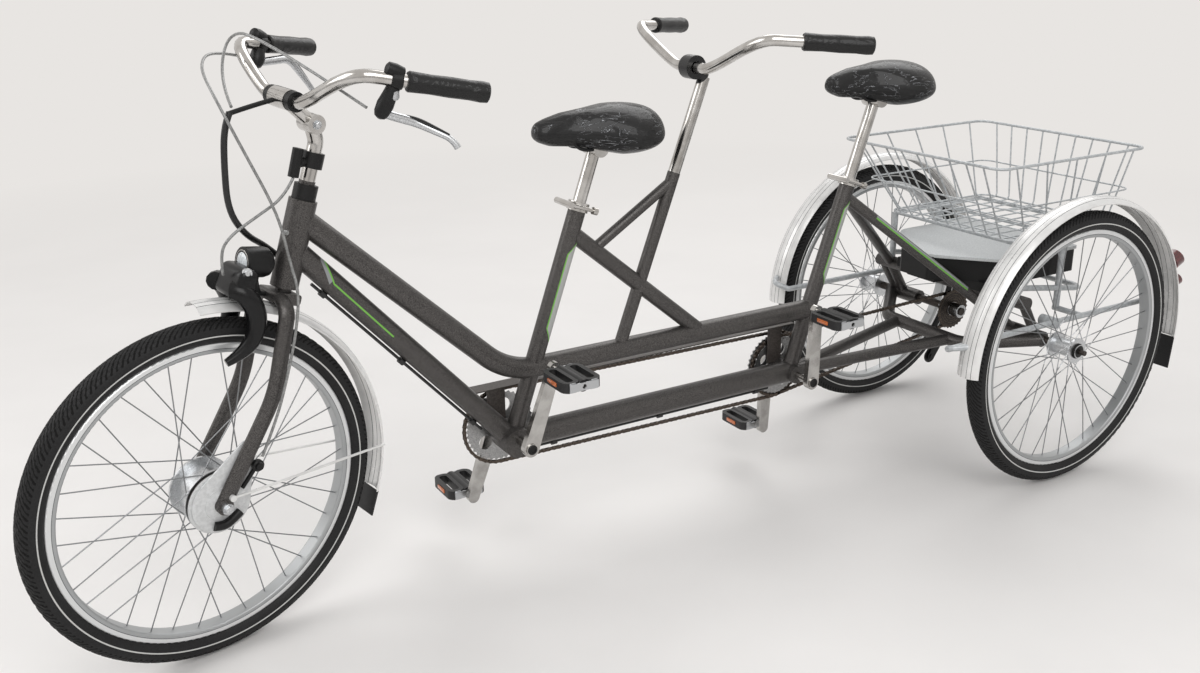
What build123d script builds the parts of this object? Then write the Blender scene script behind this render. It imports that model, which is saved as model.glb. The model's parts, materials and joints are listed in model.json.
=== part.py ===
# Tandem tricycle for two riders in line: one steered wheel in front, two wheels behind,
# a welded tube frame, two saddles, two handlebars, two sets of cranks and a wire basket.
# +X points forward, +Y to the riders' left and +Z up. The origin is on the floor, under
# the middle of the vehicle.
import os
from math import acos, atan2, cos, copysign, pi, radians, sin, sqrt, tan

from build123d import *

os.makedirs("parts", exist_ok=True)

# Stance, in millimetres and degrees. Forward distances count from the rear axle.
rear_axle_x = -915.0
wheelbase = 1900.0
half_track = 328.0
shaft_radius = 10.0
head_angle = 72.0
trail = 43.0
steer_at_rest = 13.0

# Wheels: 47-559 tyres on box rims.
tyre_radius = 326.5
tyre_width = 47.0
rim_radius = 285.5
rim_width = 30.0
rim_depth = 19.0
spoke_count = 36
spoke_diameter = 2.3
tyre_gap = 0.2

# Frame tubes, by outer diameter.
head_tube_diameter = 50.0
top_tube_diameter = 44.0
down_tube_diameter = 42.0
lower_tube_diameter = 50.8
seat_tube_diameter = 36.0
stoker_tube_diameter = 27.0
diagonal_diameter = 33.0
brace_diameter = 22.0
chainstay_diameter = 28.0
seatstay_diameter = 25.0
cross_tube_diameter = 32.0
axle_tube_diameter = 38.0
front_shell_diameter = 62.0
rear_shell_diameter = 42.0
shell_width = 68.0

# Mudguards: thin curved shells over the tyres.
mudguard_gap = 33.5
mudguard_width = 60.0
mudguard_thickness = 2.0
mudguard_rise = 14.0

# Fits.
bearing_gap = 0.05
clear_gap = 0.3

# Frame stations: forward of the rear axle, and above the floor.
front_crank_x = 1290.0
front_crank_z = 290.0
rear_crank_x = 568.0
rear_crank_z = 281.0
shell_z = 282.0
upper_tube_z = 426.0
top_tube_bend_back = -2.0
top_tube_bend_radius = 165.0
top_tube_drop = 37.0
head_length = 150.0
seat_angle = 70.4
front_seat_tube_top_z = 736.0
rear_seat_tube_top_z = 704.0
frame_split_x = 1195.0
down_tube_rise = 66.0
down_tube_foot_ahead = 8.0
down_tube_foot_rise = 8.0
stoker_tube_foot_x = 1033.0
stoker_tube_top_x = 896.0
stoker_tube_top_z = 787.0
diagonal_top_z = 694.0
diagonal_foot_x = 822.0
brace_share = 0.16
cross_tube_x = 136.0
cross_tube_z = 305.0
chainstay_spread = 86.0
upper_cross_x = 60.0
upper_cross_z = 422.0
bracket_from_wheel = 76.0
axle_tube_length = 102.0
right_stay_from_bracket = 47.0
left_stay_from_bracket = 84.0

# Steered parts, measured with the wheel straight ahead.
fork_blade_y = 57.0
crown_height = 20.0
crown_length = 56.0
crown_width = 56.0
crown_gap = 2.5
blade_half_width = 10.0
blade_half_depth = 15.0
arch_bend_radius = 32.0
arch_leg = 60.0
steerer_radius = 14.3
fork_knee_back = 114.0
fork_knee_rise = 179.0
fork_bend_radius = 230.0

# Cranks and pedals.
crank_length = 170.0
front_crank_angle = 110.0
rear_crank_angle = 92.0
crank_inner_y = 74.0
crank_thickness = 14.0
spindle_radius = 8.5
pedal_half_width = 50.0
pedal_half_length = 42.0
chain_pitch = 12.7
timing_teeth = 40
timing_y = -56.0
drive_ring_teeth = 36
drive_sprocket_teeth = 21
drive_y = -44.0
chain_width = 7.0
tooth_depth = 4.0
link_waist = 1.8


def place(x, z, y=0.0):
    """A point given forward of the rear axle, up from the floor and to the left."""
    return Vector(rear_axle_x + x, y, z)


def tube(points, diameter, bend=0.0, mode=Mode.ADD):
    """One round tube along straight runs, with its bends as arcs."""
    with BuildLine() as route:
        if len(points) == 2:
            Line(*points)
        else:
            FilletPolyline(*points, radius=bend)
    with BuildSketch(Plane(origin=route.line @ 0, z_dir=route.line % 0)) as section:
        Circle(diameter / 2)
    sweep(section.sketch, path=route.line, mode=mode)


def barrel(centre, radius, width, mode=Mode.ADD):
    """A cylinder that lies across the vehicle, along Y."""
    with Locations(Location(centre, (90, 0, 0))):
        Cylinder(radius, width, mode=mode)


# Places that follow from the values above.
mudguard_radius = tyre_radius + mudguard_gap
mudguard_y = half_track + 2.0
mudguard_back = 8.0
axle_bracket_y = half_track - bracket_from_wheel
axle_tube_inner_y = axle_bracket_y - axle_tube_length
right_stay_y = right_stay_from_bracket - axle_bracket_y
left_stay_foot_y = axle_bracket_y - left_stay_from_bracket


def mirrored(point):
    """The same point on the right-hand side."""
    return Vector(point.X, -point.Y, point.Z)


# Steering: the axis leans back from its foot on the floor.
axis_foot = place(wheelbase + trail, 0)
steering_axis = Axis(axis_foot, (-cos(radians(head_angle)), 0, sin(radians(head_angle))))


def on_steering_axis(z):
    """The point of the steering axis at this height."""
    return Vector(axis_foot.X - z / tan(radians(head_angle)), 0, z)


def steered(point):
    """A point of the steered parts, turned to its place at rest."""
    return axis_foot + (point - axis_foot).rotate(steering_axis, steer_at_rest)


# The turned wheel leans a little, so its hub is lifted until the tyre meets the floor.
turned_hub = steered(place(wheelbase, tyre_radius))
turned_spin = Vector(0, 1, 0).rotate(steering_axis, steer_at_rest)
tyre_ring_radius = tyre_radius - tyre_width / 2
turned_drop = turned_hub.Z - tyre_ring_radius * sqrt(1 - turned_spin.Z**2) - tyre_width / 2
front_hub_z = tyre_radius - turned_drop
front_hub = place(wheelbase, front_hub_z)

# The crown clears the front mudguard, and the head tube stands just above the crown.
hub_from_foot = front_hub - axis_foot
hub_along_axis = hub_from_foot.dot(steering_axis.direction)
crown_along = hub_along_axis + mudguard_radius + crown_gap + crown_height / 2
crown_foot = axis_foot + steering_axis.direction * crown_along
crown_z = crown_foot.Z
head_bottom_z = crown_z + 14.0
head_top_z = head_bottom_z + head_length
crown_middle = crown_foot + Vector(6, 0, 0)


def from_hub(forward, rise, y=0.0):
    """A point of the steered parts, counted from the front hub."""
    return front_hub + Vector(forward, y, rise)


def from_crown(rise, forward, y=0.0):
    """A point at this height over the crown, forward of the steering axis."""
    return on_steering_axis(crown_z + rise) + Vector(forward, y, 0)


def from_head(rise, forward, y=0.0):
    """A point at this height over the head tube, forward of the steering axis."""
    return on_steering_axis(head_top_z + rise) + Vector(forward, y, 0)


def steer(piece):
    """Turn a finished steered piece to its place at rest."""
    piece.part = piece.part.rotate(steering_axis, steer_at_rest)


def save(name, piece):
    """Label one finished piece and write its file."""
    piece.part.label = name
    export_step(piece.part, f"parts/{name}.step")


# Frame points that several tubes share.
front_crank = place(front_crank_x, front_crank_z)
rear_crank = place(rear_crank_x, rear_crank_z)
front_shell = place(front_crank_x, shell_z)
rear_shell = place(rear_crank_x, shell_z)
front_seat_run = (front_seat_tube_top_z - shell_z) / tan(radians(seat_angle))
front_seat_top = place(front_crank_x - front_seat_run, front_seat_tube_top_z)
rear_seat_run = (rear_seat_tube_top_z - shell_z) / tan(radians(seat_angle))
rear_seat_top = place(rear_crank_x - rear_seat_run, rear_seat_tube_top_z)
head_bottom = on_steering_axis(head_bottom_z)
head_top = on_steering_axis(head_top_z)


def on_line(start, end, z):
    """The point at this height on a straight line."""
    share = (z - start.Z) / (end.Z - start.Z)
    return start + (end - start) * share


top_tube_bend = place(front_crank_x - top_tube_bend_back, upper_tube_z)
top_tube_head = on_steering_axis(head_top_z - top_tube_drop) + Vector(-8, 0, 0)
down_tube_head = on_steering_axis(head_bottom_z + down_tube_rise)
down_tube_foot = place(front_crank_x + down_tube_foot_ahead, shell_z + down_tube_foot_rise)
front_split = place(frame_split_x, upper_tube_z)
rear_joint = on_line(rear_shell, rear_seat_top, upper_tube_z)
front_seat_line = (front_shell, front_seat_top)
rear_seat_line = (rear_shell, rear_seat_top)

with BuildPart() as frame_front:
    tube((head_bottom, head_top), head_tube_diameter)
    tube((top_tube_head, top_tube_bend, front_split), top_tube_diameter, top_tube_bend_radius)
    tube((down_tube_head, down_tube_foot), down_tube_diameter)
    tube(front_seat_line, seat_tube_diameter)
    barrel(front_shell, front_shell_diameter / 2, shell_width)
    tube((head_bottom, head_top), 2 * (steerer_radius + bearing_gap), mode=Mode.SUBTRACT)
    barrel(front_crank, spindle_radius + bearing_gap, 2 * shell_width, mode=Mode.SUBTRACT)

save("frame_front", frame_front)

stoker_foot = place(stoker_tube_foot_x, upper_tube_z)
stoker_top = place(stoker_tube_top_x, stoker_tube_top_z)
diagonal_top = on_line(*front_seat_line, diagonal_top_z)
diagonal_foot = place(diagonal_foot_x, upper_tube_z)
brace_foot = diagonal_top + (diagonal_foot - diagonal_top) * brace_share
brace_top = on_line(stoker_foot, stoker_top, stoker_tube_top_z - 18)

with BuildPart() as frame_middle:
    tube((front_split, rear_joint), top_tube_diameter)
    tube((front_shell, rear_shell), lower_tube_diameter)
    tube((diagonal_top, diagonal_foot), diagonal_diameter)
    tube((stoker_foot, stoker_top), stoker_tube_diameter)
    tube((brace_foot, brace_top), brace_diameter)
    tube(rear_seat_line, seat_tube_diameter)
    barrel(rear_shell, rear_shell_diameter / 2, shell_width)
    tube(front_seat_line, seat_tube_diameter, mode=Mode.SUBTRACT)
    barrel(front_shell, front_shell_diameter / 2, 2 * shell_width, mode=Mode.SUBTRACT)
    barrel(rear_crank, spindle_radius + bearing_gap, 2 * shell_width, mode=Mode.SUBTRACT)

save("frame_middle", frame_middle)

# Rear of the frame. The left stay runs straight to the axle, the right one clears the chain.
axle = place(0, tyre_radius)


def on_axle(y):
    """The point of the rear axle at this distance to the left."""
    return Vector(axle.X, y, axle.Z)


stay_top = on_line(*rear_seat_line, rear_seat_tube_top_z - 22)
right_stay_knee = place(upper_cross_x, upper_cross_z, right_stay_y)
cross_end = place(cross_tube_x, cross_tube_z, chainstay_spread + 40)
bracket_foot = on_axle(axle_bracket_y)

with BuildPart() as frame_rear:
    for side in (-1, 1):
        tube((rear_shell, place(cross_tube_x, cross_tube_z, side * chainstay_spread)), chainstay_diameter)
        with Locations(Location(on_axle(side * (axle_tube_inner_y + axle_bracket_y) / 2), (90, 0, 0))):
            Cylinder(axle_tube_diameter / 2, axle_bracket_y - axle_tube_inner_y)
        strut_y = side * (axle_bracket_y - 20)
        tube((place(upper_cross_x, upper_cross_z, strut_y), on_axle(strut_y)), 24.0)
    tube(
        (mirrored(bracket_foot), mirrored(cross_end), cross_end, bracket_foot),
        cross_tube_diameter,
        60.0,
    )
    tube(
        (
            place(upper_cross_x, upper_cross_z, 7 - axle_bracket_y),
            place(upper_cross_x, upper_cross_z, axle_bracket_y - 7),
        ),
        cross_tube_diameter,
    )
    tube((stay_top, on_axle(left_stay_foot_y)), seatstay_diameter)
    tube((stay_top, right_stay_knee, on_axle(right_stay_y)), seatstay_diameter, 40.0)
    tube(rear_seat_line, seat_tube_diameter, mode=Mode.SUBTRACT)
    barrel(rear_shell, rear_shell_diameter / 2, 2 * shell_width, mode=Mode.SUBTRACT)
    tube((front_shell, rear_shell), lower_tube_diameter, mode=Mode.SUBTRACT)
    barrel(axle, shaft_radius + bearing_gap, 2 * half_track, mode=Mode.SUBTRACT)

save("frame_rear", frame_rear)

# Seat posts: a silver tube in each seat tube, held by a clamp with a quick-release lever.
post_diameter = 27.2
seat_clamp_height = 18.0
front_post_z = 858.0
rear_post_z = 894.0
front_post_top = on_line(*front_seat_line, front_post_z)
rear_post_top = on_line(*rear_seat_line, rear_post_z)
seats = (
    # name, seat tube top, post top
    ("front", front_seat_line, front_post_top),
    ("rear", rear_seat_line, rear_post_top),
)
for seat_name, seat_line, post_top in seats:
    foot, top = seat_line
    slope = (top - foot).normalized()
    ring_end = top + slope * seat_clamp_height
    bolt_middle = top + slope * (seat_clamp_height / 2) + Vector(0, seat_tube_diameter / 2 + 7, 0)
    bolt_front = bolt_middle + Vector(slope.Z, 0, -slope.X) * 34
    bolt_back = bolt_middle - Vector(slope.Z, 0, -slope.X) * 30
    with BuildPart() as seatpost:
        tube((top, post_top), post_diameter)
        tube((top, ring_end), seat_tube_diameter + 8)
        tube((bolt_front, bolt_back), 8.0)
        tube((bolt_back, bolt_back + Vector(slope.Z, 0, -slope.X) * 10), 15.0)
        tube((bolt_front + Vector(0, 7, 0), bolt_front + Vector(0, -54, 0)), 13.0)
        barrel(post_top, 17.0, 52.0)
    save(f"{seat_name}_seatpost", seatpost)

# Saddles: a wide padded shell on two rails.
saddle_nose_radius = 25.0
saddle_wing_radius = 72.0
saddle_half_width = 106.0
saddle_length = 274.0
saddle_crust = 16.0
rail_diameter = 7.0
rail_half_gap = 22.0
saddle_profile = (
    # share of the length from the tail, underside, top
    (0.0, 4.0, 34.0),
    (0.1, -20.0, 46.0),
    (0.3, -24.0, 54.0),
    (0.5, -16.0, 52.0),
    (0.68, 2.0, 48.0),
    (1.0, 4.0, 38.0),
)
saddles = (
    # name, post top, nose forward of the post, base above the post
    ("front", front_post_top, 141.0, 28.0),
    ("rear", rear_post_top, 145.0, 28.0),
)


def saddle_outline(inset):
    """The saddle from above, drawn smaller by this inset."""
    with Locations((nose_x - saddle_nose_radius, 0)):
        Circle(saddle_nose_radius - inset)
    with Locations(
        (tail_x + saddle_wing_radius, saddle_half_width - saddle_wing_radius),
        (tail_x + saddle_wing_radius, saddle_wing_radius - saddle_half_width),
    ):
        Circle(saddle_wing_radius - inset)
    make_hull()


for saddle_name, post_top, nose_reach, rise in saddles:
    nose_x = post_top.X + nose_reach
    base_z = post_top.Z + rise
    tail_x = nose_x - saddle_length
    profile = [(tail_x + share * saddle_length, base_z + under) for share, under, _ in saddle_profile]
    profile += [(tail_x + share * saddle_length, base_z + top) for share, _, top in reversed(saddle_profile)]
    with BuildPart() as saddle:
        with BuildSketch(Plane.XZ) as side_view:
            Polygon(*profile, align=None)
            fillet(side_view.vertices(), 11)
        extrude(amount=2 * saddle_half_width, both=True)
        with BuildSketch(Plane.XY.offset(base_z - 60)) as top_view:
            saddle_outline(0)
        extrude(top_view.sketch, amount=160, mode=Mode.INTERSECT)
        with BuildSketch(Plane.XY.offset(base_z - 60)) as hollow:
            saddle_outline(saddle_crust)
        extrude(hollow.sketch, amount=60 + 8, mode=Mode.SUBTRACT)
        for side in (-1, 1):
            rail = (
                Vector(nose_x - 50, side * 7, base_z + 12),
                Vector(post_top.X + 45, side * rail_half_gap, post_top.Z),
                Vector(post_top.X - 60, side * rail_half_gap, post_top.Z),
                Vector(tail_x + 45, side * 42, base_z + 12),
            )
            tube(rail, rail_diameter, 18.0)
        barrel(post_top, 17.0, 52.0, mode=Mode.SUBTRACT)
    save(f"{saddle_name}_saddle", saddle)

# The second rider's stem, handlebar and grips, all fixed to the frame.
bar_diameter = 22.2
bar_middle_diameter = 25.4
bar_middle_width = 60.0
grip_diameter = 32.0
stoker_clamp = place(854, 998)
stoker_quill_length = 202.0
stoker_quill_top = stoker_top + (stoker_top - stoker_foot).normalized() * stoker_quill_length
stoker_bar = (
    place(665, 1052, 312),
    place(851, 1067, 213),
    place(854, 998, 62),
    place(854, 998, -62),
    place(851, 1067, -213),
    place(665, 1052, -312),
)

with BuildPart() as stoker_stem:
    tube((stoker_top, stoker_quill_top), 25.4)
    tube((stoker_quill_top, stoker_clamp), 27.0)
    barrel(stoker_clamp, 24.0, 30.0)
    barrel(stoker_clamp, bar_middle_diameter / 2, bar_middle_width, mode=Mode.SUBTRACT)

save("stoker_stem", stoker_stem)

with BuildPart() as stoker_handlebar:
    tube(stoker_bar, bar_diameter, 45.0)
    barrel(stoker_clamp, bar_middle_diameter / 2, bar_middle_width)

save("stoker_handlebar", stoker_handlebar)


def grips(bar, length):
    """Two sleeves over the ends of one handlebar."""
    for end, corner in ((bar[0], bar[1]), (bar[-1], bar[-2])):
        run = (corner - end).normalized()
        tube((end - run * 4, end + run * length), grip_diameter)
        tube((end, end + run * (length + 1)), bar_diameter, mode=Mode.SUBTRACT)


grip_length = 128.0
with BuildPart() as stoker_grips:
    grips(stoker_bar, grip_length)

save("stoker_grips", stoker_grips)


# Wheels. A wheel plane stands through the hub at an angle counted upward from the front.
def wheel_plane(hub, angle):
    """A plane across the rim: X along the hub, Y outward."""
    turn = radians(angle)
    return Plane(origin=hub, x_dir=(0, 1, 0), z_dir=(sin(turn), 0, -cos(turn)))


def rim_and_spokes(hub, flanges):
    """A box rim with its spokes, laced to the flanges given as rows of offset and radius."""
    rim_inner = rim_radius - rim_depth
    with BuildSketch(wheel_plane(hub, 0)) as rim_section:
        with Locations((0, rim_radius - rim_depth / 2)):
            RectangleRounded(rim_width, rim_depth, 4)
    revolve(rim_section.sketch, Axis(hub, (0, -1, 0)), 360)
    planes = []
    lengths = []
    for flange_row, (flange_y, flange_radius) in enumerate(flanges):
        for spoke in range(spoke_count // 2):
            rim_turn = radians((2 * spoke + flange_row) * 360 / spoke_count)
            lean = 1 if spoke % 2 else -1
            hub_turn = rim_turn + lean * radians(62)
            weave = lean * spoke_diameter * 0.6
            ends = []
            for turn, radius, y in (
                (hub_turn, flange_radius, flange_y + weave),
                (rim_turn, rim_inner + 1, copysign(3, flange_y) + weave),
            ):
                ends.append(hub + Vector(radius * cos(turn), y, radius * sin(turn)))
            middle = (ends[0] + ends[1]) / 2
            planes.append(Plane(origin=middle, z_dir=ends[1] - ends[0]))
            lengths.append((ends[1] - ends[0]).length)
    for row in range(len(flanges)):
        half = spoke_count // 2
        with Locations(*planes[row * half : (row + 1) * half]):
            Cylinder(spoke_diameter / 2, lengths[row * half])


def tyre_ring(hub):
    """A tyre around the hub, resting on its rim."""
    with BuildSketch(wheel_plane(hub, 0)) as tyre_section:
        with Locations((0, tyre_ring_radius)):
            Circle(tyre_width / 2)
        with Locations((0, 0)):
            Rectangle(2 * tyre_width, 2 * (rim_radius + tyre_gap), mode=Mode.SUBTRACT)
    revolve(tyre_section.sketch, Axis(hub, (0, -1, 0)), 360)


# Front wheel: a wide hub brake drum, on an axle that belongs to the fork.
axle_radius = 5.0
front_flange_radius = 58.0
front_flange_y = 30.5
front_hub_half = 34.0
with BuildPart() as front_wheel:
    rim_and_spokes(front_hub, ((front_flange_y, front_flange_radius - 4), (-front_flange_y, 54)))
    barrel(front_hub, 46.0, 2 * front_hub_half - 2)
    for side in (-1, 1):
        barrel(front_hub + Vector(0, side * front_flange_y, 0), front_flange_radius, 5.0)
    barrel(front_hub, axle_radius + bearing_gap, 120.0, mode=Mode.SUBTRACT)

steer(front_wheel)
save("front_wheel", front_wheel)

with BuildPart() as front_tyre:
    tyre_ring(front_hub)

steer(front_tyre)
save("front_tyre", front_tyre)

# Rear wheels, each with its own shaft. The right shaft also carries the sprockets.
rear_flange_radius = 30.0
rear_sides = (
    # name, side, inner end of the shaft
    ("left", 1, axle_tube_inner_y - 6.0),
    ("right", -1, 2.0),
)
axle_end_radius = 6.0
axle_end_length = 16.0
hub_outer_y = half_track + 27.0
for side_name, side, shaft_end in rear_sides:
    hub = on_axle(side * half_track)
    with BuildPart() as rear_wheel:
        rim_and_spokes(hub, ((side * -38, 26.0), (side * 18, 26.0)))
        barrel(hub + Vector(0, side * -10, 0), 20.0, 56.0)
        barrel(hub + Vector(0, side * -38, 0), rear_flange_radius, 5.0)
        barrel(hub + Vector(0, side * 18, 0), rear_flange_radius, 5.0)
        barrel(hub + Vector(0, side * 22, 0), 16.0, 10.0)
        barrel(hub, shaft_radius, 4 * (hub_outer_y - half_track), mode=Mode.SUBTRACT)
    save(f"rear_wheel_{side_name}", rear_wheel)
    with BuildPart() as rear_shaft:
        barrel(on_axle(side * (hub_outer_y + shaft_end) / 2), shaft_radius, hub_outer_y - shaft_end)
        barrel(on_axle(side * (hub_outer_y + axle_end_length / 2)), axle_end_radius, axle_end_length)
    save(f"rear_shaft_{side_name}", rear_shaft)
    with BuildPart() as rear_tyre:
        tyre_ring(hub)
    save(f"rear_tyre_{side_name}", rear_tyre)


def pitch_radius(teeth):
    """Radius of the chain's pins on a sprocket."""
    return chain_pitch / (2 * sin(pi / teeth))


# The chains lie 0.3 mm outside the sprockets, so the sprockets can turn inside them.
chain_half_height = 4.0
sprocket_radius_drop = chain_half_height + clear_gap


def toothed(centre, teeth, y, width):
    """A sprocket plate with one tooth to each link, inside the place of its chain."""
    tip_radius = pitch_radius(teeth) - sprocket_radius_drop
    corners = []
    for half_tooth in range(2 * teeth):
        turn = pi * half_tooth / teeth
        radius = tip_radius - tooth_depth * (half_tooth % 2)
        corners.append((centre.X + radius * cos(turn), centre.Z + radius * sin(turn)))
    with BuildSketch(Plane.XZ.offset(-y - width / 2)) as plate:
        Polygon(*corners, align=None)
    extrude(plate.sketch, amount=width)


cassette_teeth = (28, 24, 21, 18, 16, 14, 12)
cassette_y = -34.0
cassette_step = -5.0
with BuildPart() as cassette:
    for row, teeth in enumerate(cassette_teeth):
        sprocket_y = cassette_y + row * cassette_step
        toothed(axle, teeth, sprocket_y, 2.4)
    barrel(on_axle(-36), 17.0, 62.0)
    barrel(on_axle(-40), shaft_radius, 90.0, mode=Mode.SUBTRACT)

save("cassette", cassette)

# Cranks. Each set turns in its shell; the chainrings sit on the right.
crank_outer_y = crank_inner_y + crank_thickness
pedal_y = 150.0
loop_length = 37.0
loop_height = 20.0
loop_wall = 10.0
pedal_spindle_radius = 4.5


def crank_end(centre, angle, side):
    """The pedal end of one crank."""
    turn = radians(angle if side > 0 else angle + 180)
    return centre + Vector(crank_length * cos(turn), 0, crank_length * sin(turn))


crank_sets = (
    # name, spindle centre, angle of the left crank
    ("front", front_crank, front_crank_angle),
    ("rear", rear_crank, rear_crank_angle),
)
for crank_name, centre, angle in crank_sets:
    with BuildPart() as crankset:
        barrel(centre, spindle_radius, 2 * crank_outer_y)
        for side in (-1, 1):
            tip = crank_end(centre, angle, side)
            with BuildSketch(Plane.XZ.offset(-side * crank_inner_y)) as arm:
                with Locations((centre.X, centre.Z)):
                    Circle(17.0)
                with Locations((tip.X, tip.Z)):
                    Circle(12.5)
                make_hull()
            extrude(arm.sketch, amount=-side * crank_thickness)
            barrel(centre + Vector(0, side * (crank_outer_y + 1), 0), 12.0, 4.0)
            spindle_end = pedal_y + pedal_half_width - 6
            spindle_middle = side * (crank_outer_y + spindle_end) / 2
            spindle_length = spindle_end - crank_outer_y
            barrel(Vector(tip.X, spindle_middle, tip.Z), pedal_spindle_radius, spindle_length)
    save(f"{crank_name}_crankset", crankset)
    for side_name, side in (("left", 1), ("right", -1)):
        tip = crank_end(centre, angle, side)
        middle = Vector(tip.X, side * pedal_y, tip.Z)
        with BuildPart() as pedal:
            barrel(middle, 12.0, 2 * pedal_half_width - 8)
            for row in (-1, 1):
                loop_middle = (middle.X + row * (pedal_half_length - loop_length / 2), middle.Y)
                with BuildSketch(Plane.XY.offset(middle.Z - loop_height / 2)) as loop:
                    with Locations(loop_middle):
                        RectangleRounded(loop_length, 2 * pedal_half_width - 4, 17)
                        RectangleRounded(
                            loop_length - 2 * loop_wall,
                            2 * pedal_half_width - 4 - 2 * loop_wall,
                            7,
                            mode=Mode.SUBTRACT,
                        )
                extrude(loop.sketch, amount=loop_height)
                with Locations(middle + Vector(0, row * (pedal_half_width - 1), 0)):
                    Box(1.5 * pedal_half_length, 3.0, 16.0)
            barrel(middle, pedal_spindle_radius + bearing_gap, 3 * pedal_half_width, mode=Mode.SUBTRACT)
        save(f"{crank_name}_pedal_{side_name}", pedal)


def ring_disc(centre, teeth, y):
    """One chainring with five openings, inside the place of its chain."""
    ring_radius = pitch_radius(teeth) - sprocket_radius_drop
    toothed(centre, teeth, y, 3.0)
    for opening in range(5):
        turn = radians(72 * opening + 30)
        offset = Vector(ring_radius * 0.6 * cos(turn), y, ring_radius * 0.6 * sin(turn))
        barrel(centre + offset, ring_radius * 0.2, 8.0, mode=Mode.SUBTRACT)


ring_sets = (
    # name, spindle centre, rows of teeth and offset
    ("front_chainring", front_crank, ((timing_teeth, timing_y),)),
    ("rear_chainrings", rear_crank, ((timing_teeth, timing_y), (drive_ring_teeth, drive_y))),
)
for ring_name, centre, rows in ring_sets:
    with BuildPart() as chainring:
        for teeth, y in rows:
            ring_disc(centre, teeth, y)
        collar_inner = -rows[-1][1] - 3
        collar_middle = (collar_inner + crank_inner_y) / 2
        barrel(centre + Vector(0, -collar_middle, 0), 19.0, crank_inner_y - collar_inner)
        barrel(centre, spindle_radius, 4 * crank_outer_y, mode=Mode.SUBTRACT)
    save(ring_name, chainring)


def half_links(circles):
    """Points every half link along a chain, each with its direction outward."""
    (first, first_teeth), (second, second_teeth) = circles
    radii = (pitch_radius(first_teeth), pitch_radius(second_teeth))
    run = second - first
    level = atan2(run.Z, run.X)
    reach = acos((radii[0] - radii[1]) / run.length)
    straight = run.length * sin(reach)
    run_steps = 2 * round(straight / chain_pitch)
    points = []
    for centre, radius, start, swing in (
        (first, radii[0], level + reach, 2 * pi - 2 * reach),
        (second, radii[1], level - reach, 2 * reach),
    ):
        arc_steps = 2 * round(radius * swing / chain_pitch)
        for step in range(arc_steps):
            turn = start + swing * step / arc_steps
            outward = Vector(cos(turn), 0, sin(turn))
            points.append((centre + outward * radius, outward))
        turn = start + swing
        outward = Vector(cos(turn), 0, sin(turn))
        along = Vector(-sin(turn), 0, cos(turn))
        for step in range(run_steps):
            points.append((centre + outward * radius + along * (straight * step / run_steps), outward))
    return points


def chain_loop(circles, y, width):
    """A closed chain round the circles given as centre and teeth, waisted between its pins."""
    edge = []
    for number, (point, outward) in enumerate(half_links(circles)):
        corner = point + outward * (chain_half_height - link_waist * (number % 2))
        edge.append((corner.X, corner.Z))
    with BuildSketch(Plane.XZ.offset(-y - width / 2)) as links:
        Polygon(*edge, align=None)
    extrude(links.sketch, amount=width)
    with BuildSketch(Plane.XZ.offset(-y - width / 2)) as inside:
        for centre, teeth in circles:
            with Locations((centre.X, centre.Z)):
                Circle(pitch_radius(teeth) - chain_half_height)
        make_hull()
    extrude(inside.sketch, amount=width, mode=Mode.SUBTRACT)


with BuildPart() as timing_chain:
    chain_loop(((front_crank, timing_teeth), (rear_crank, timing_teeth)), timing_y, chain_width)

save("timing_chain", timing_chain)

with BuildPart() as drive_chain:
    chain_loop(((rear_crank, drive_ring_teeth), (axle, drive_sprocket_teeth)), drive_y, chain_width)

save("drive_chain", drive_chain)

# Front fork: an upright steerer, a solid crown and two curved blades with round ends.
steerer_top_z = head_top_z + 32.0
arch_corner = from_crown(4, 20, fork_blade_y)
fork_knee = from_hub(-fork_knee_back, fork_knee_rise, fork_blade_y)
fork_end = front_hub + Vector(0, fork_blade_y, 0)
crown_plane = Plane(origin=crown_middle, x_dir=(0, 1, 0), z_dir=steering_axis.direction)
arch_foot = arch_corner + (fork_knee - arch_corner).normalized() * arch_leg


def blade(points, bend):
    """An oval fork tube along these points."""
    with BuildLine() as route:
        FilletPolyline(*points, radius=bend)
    with BuildSketch(Plane(origin=route.line @ 0, x_dir=(0, 1, 0), z_dir=route.line % 0)) as oval:
        Ellipse(blade_half_width, blade_half_depth)
    sweep(oval.sketch, path=route.line)


with BuildPart() as fork:
    with Locations(crown_plane):
        Box(crown_width, crown_length, crown_height)
    fillet(fork.edges().filter_by(Axis.Y), 6)
    tube((crown_foot, on_steering_axis(steerer_top_z)), 2 * steerer_radius)
    blade((arch_foot, arch_corner, mirrored(arch_corner), mirrored(arch_foot)), arch_bend_radius)
    tube((crown_middle, crown_middle + (front_hub - crown_middle).normalized() * 20), 14.0)
    barrel(front_hub, mudguard_radius, mudguard_width + 8, mode=Mode.SUBTRACT)
    for side in (-1, 1):
        blade(
            [Vector(point.X, side * point.Y, point.Z) for point in (arch_foot, fork_knee, fork_end)],
            fork_bend_radius,
        )
        barrel(Vector(fork_end.X, side * (fork_blade_y + 1), fork_end.Z), 15.0, 18.0)
    barrel(front_hub, axle_radius, 3 * fork_blade_y, mode=Mode.SUBTRACT)

fork_ahead = fork.part
steer(fork)
save("fork", fork)

with BuildPart() as front_axle:
    barrel(front_hub, axle_radius, 2 * fork_blade_y + 36)
    for side in (-1, 1):
        barrel(front_hub + Vector(0, side * (fork_blade_y + 14.5), 0), 10.0, 9.0)

steer(front_axle)
save("front_axle", front_axle)

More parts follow.
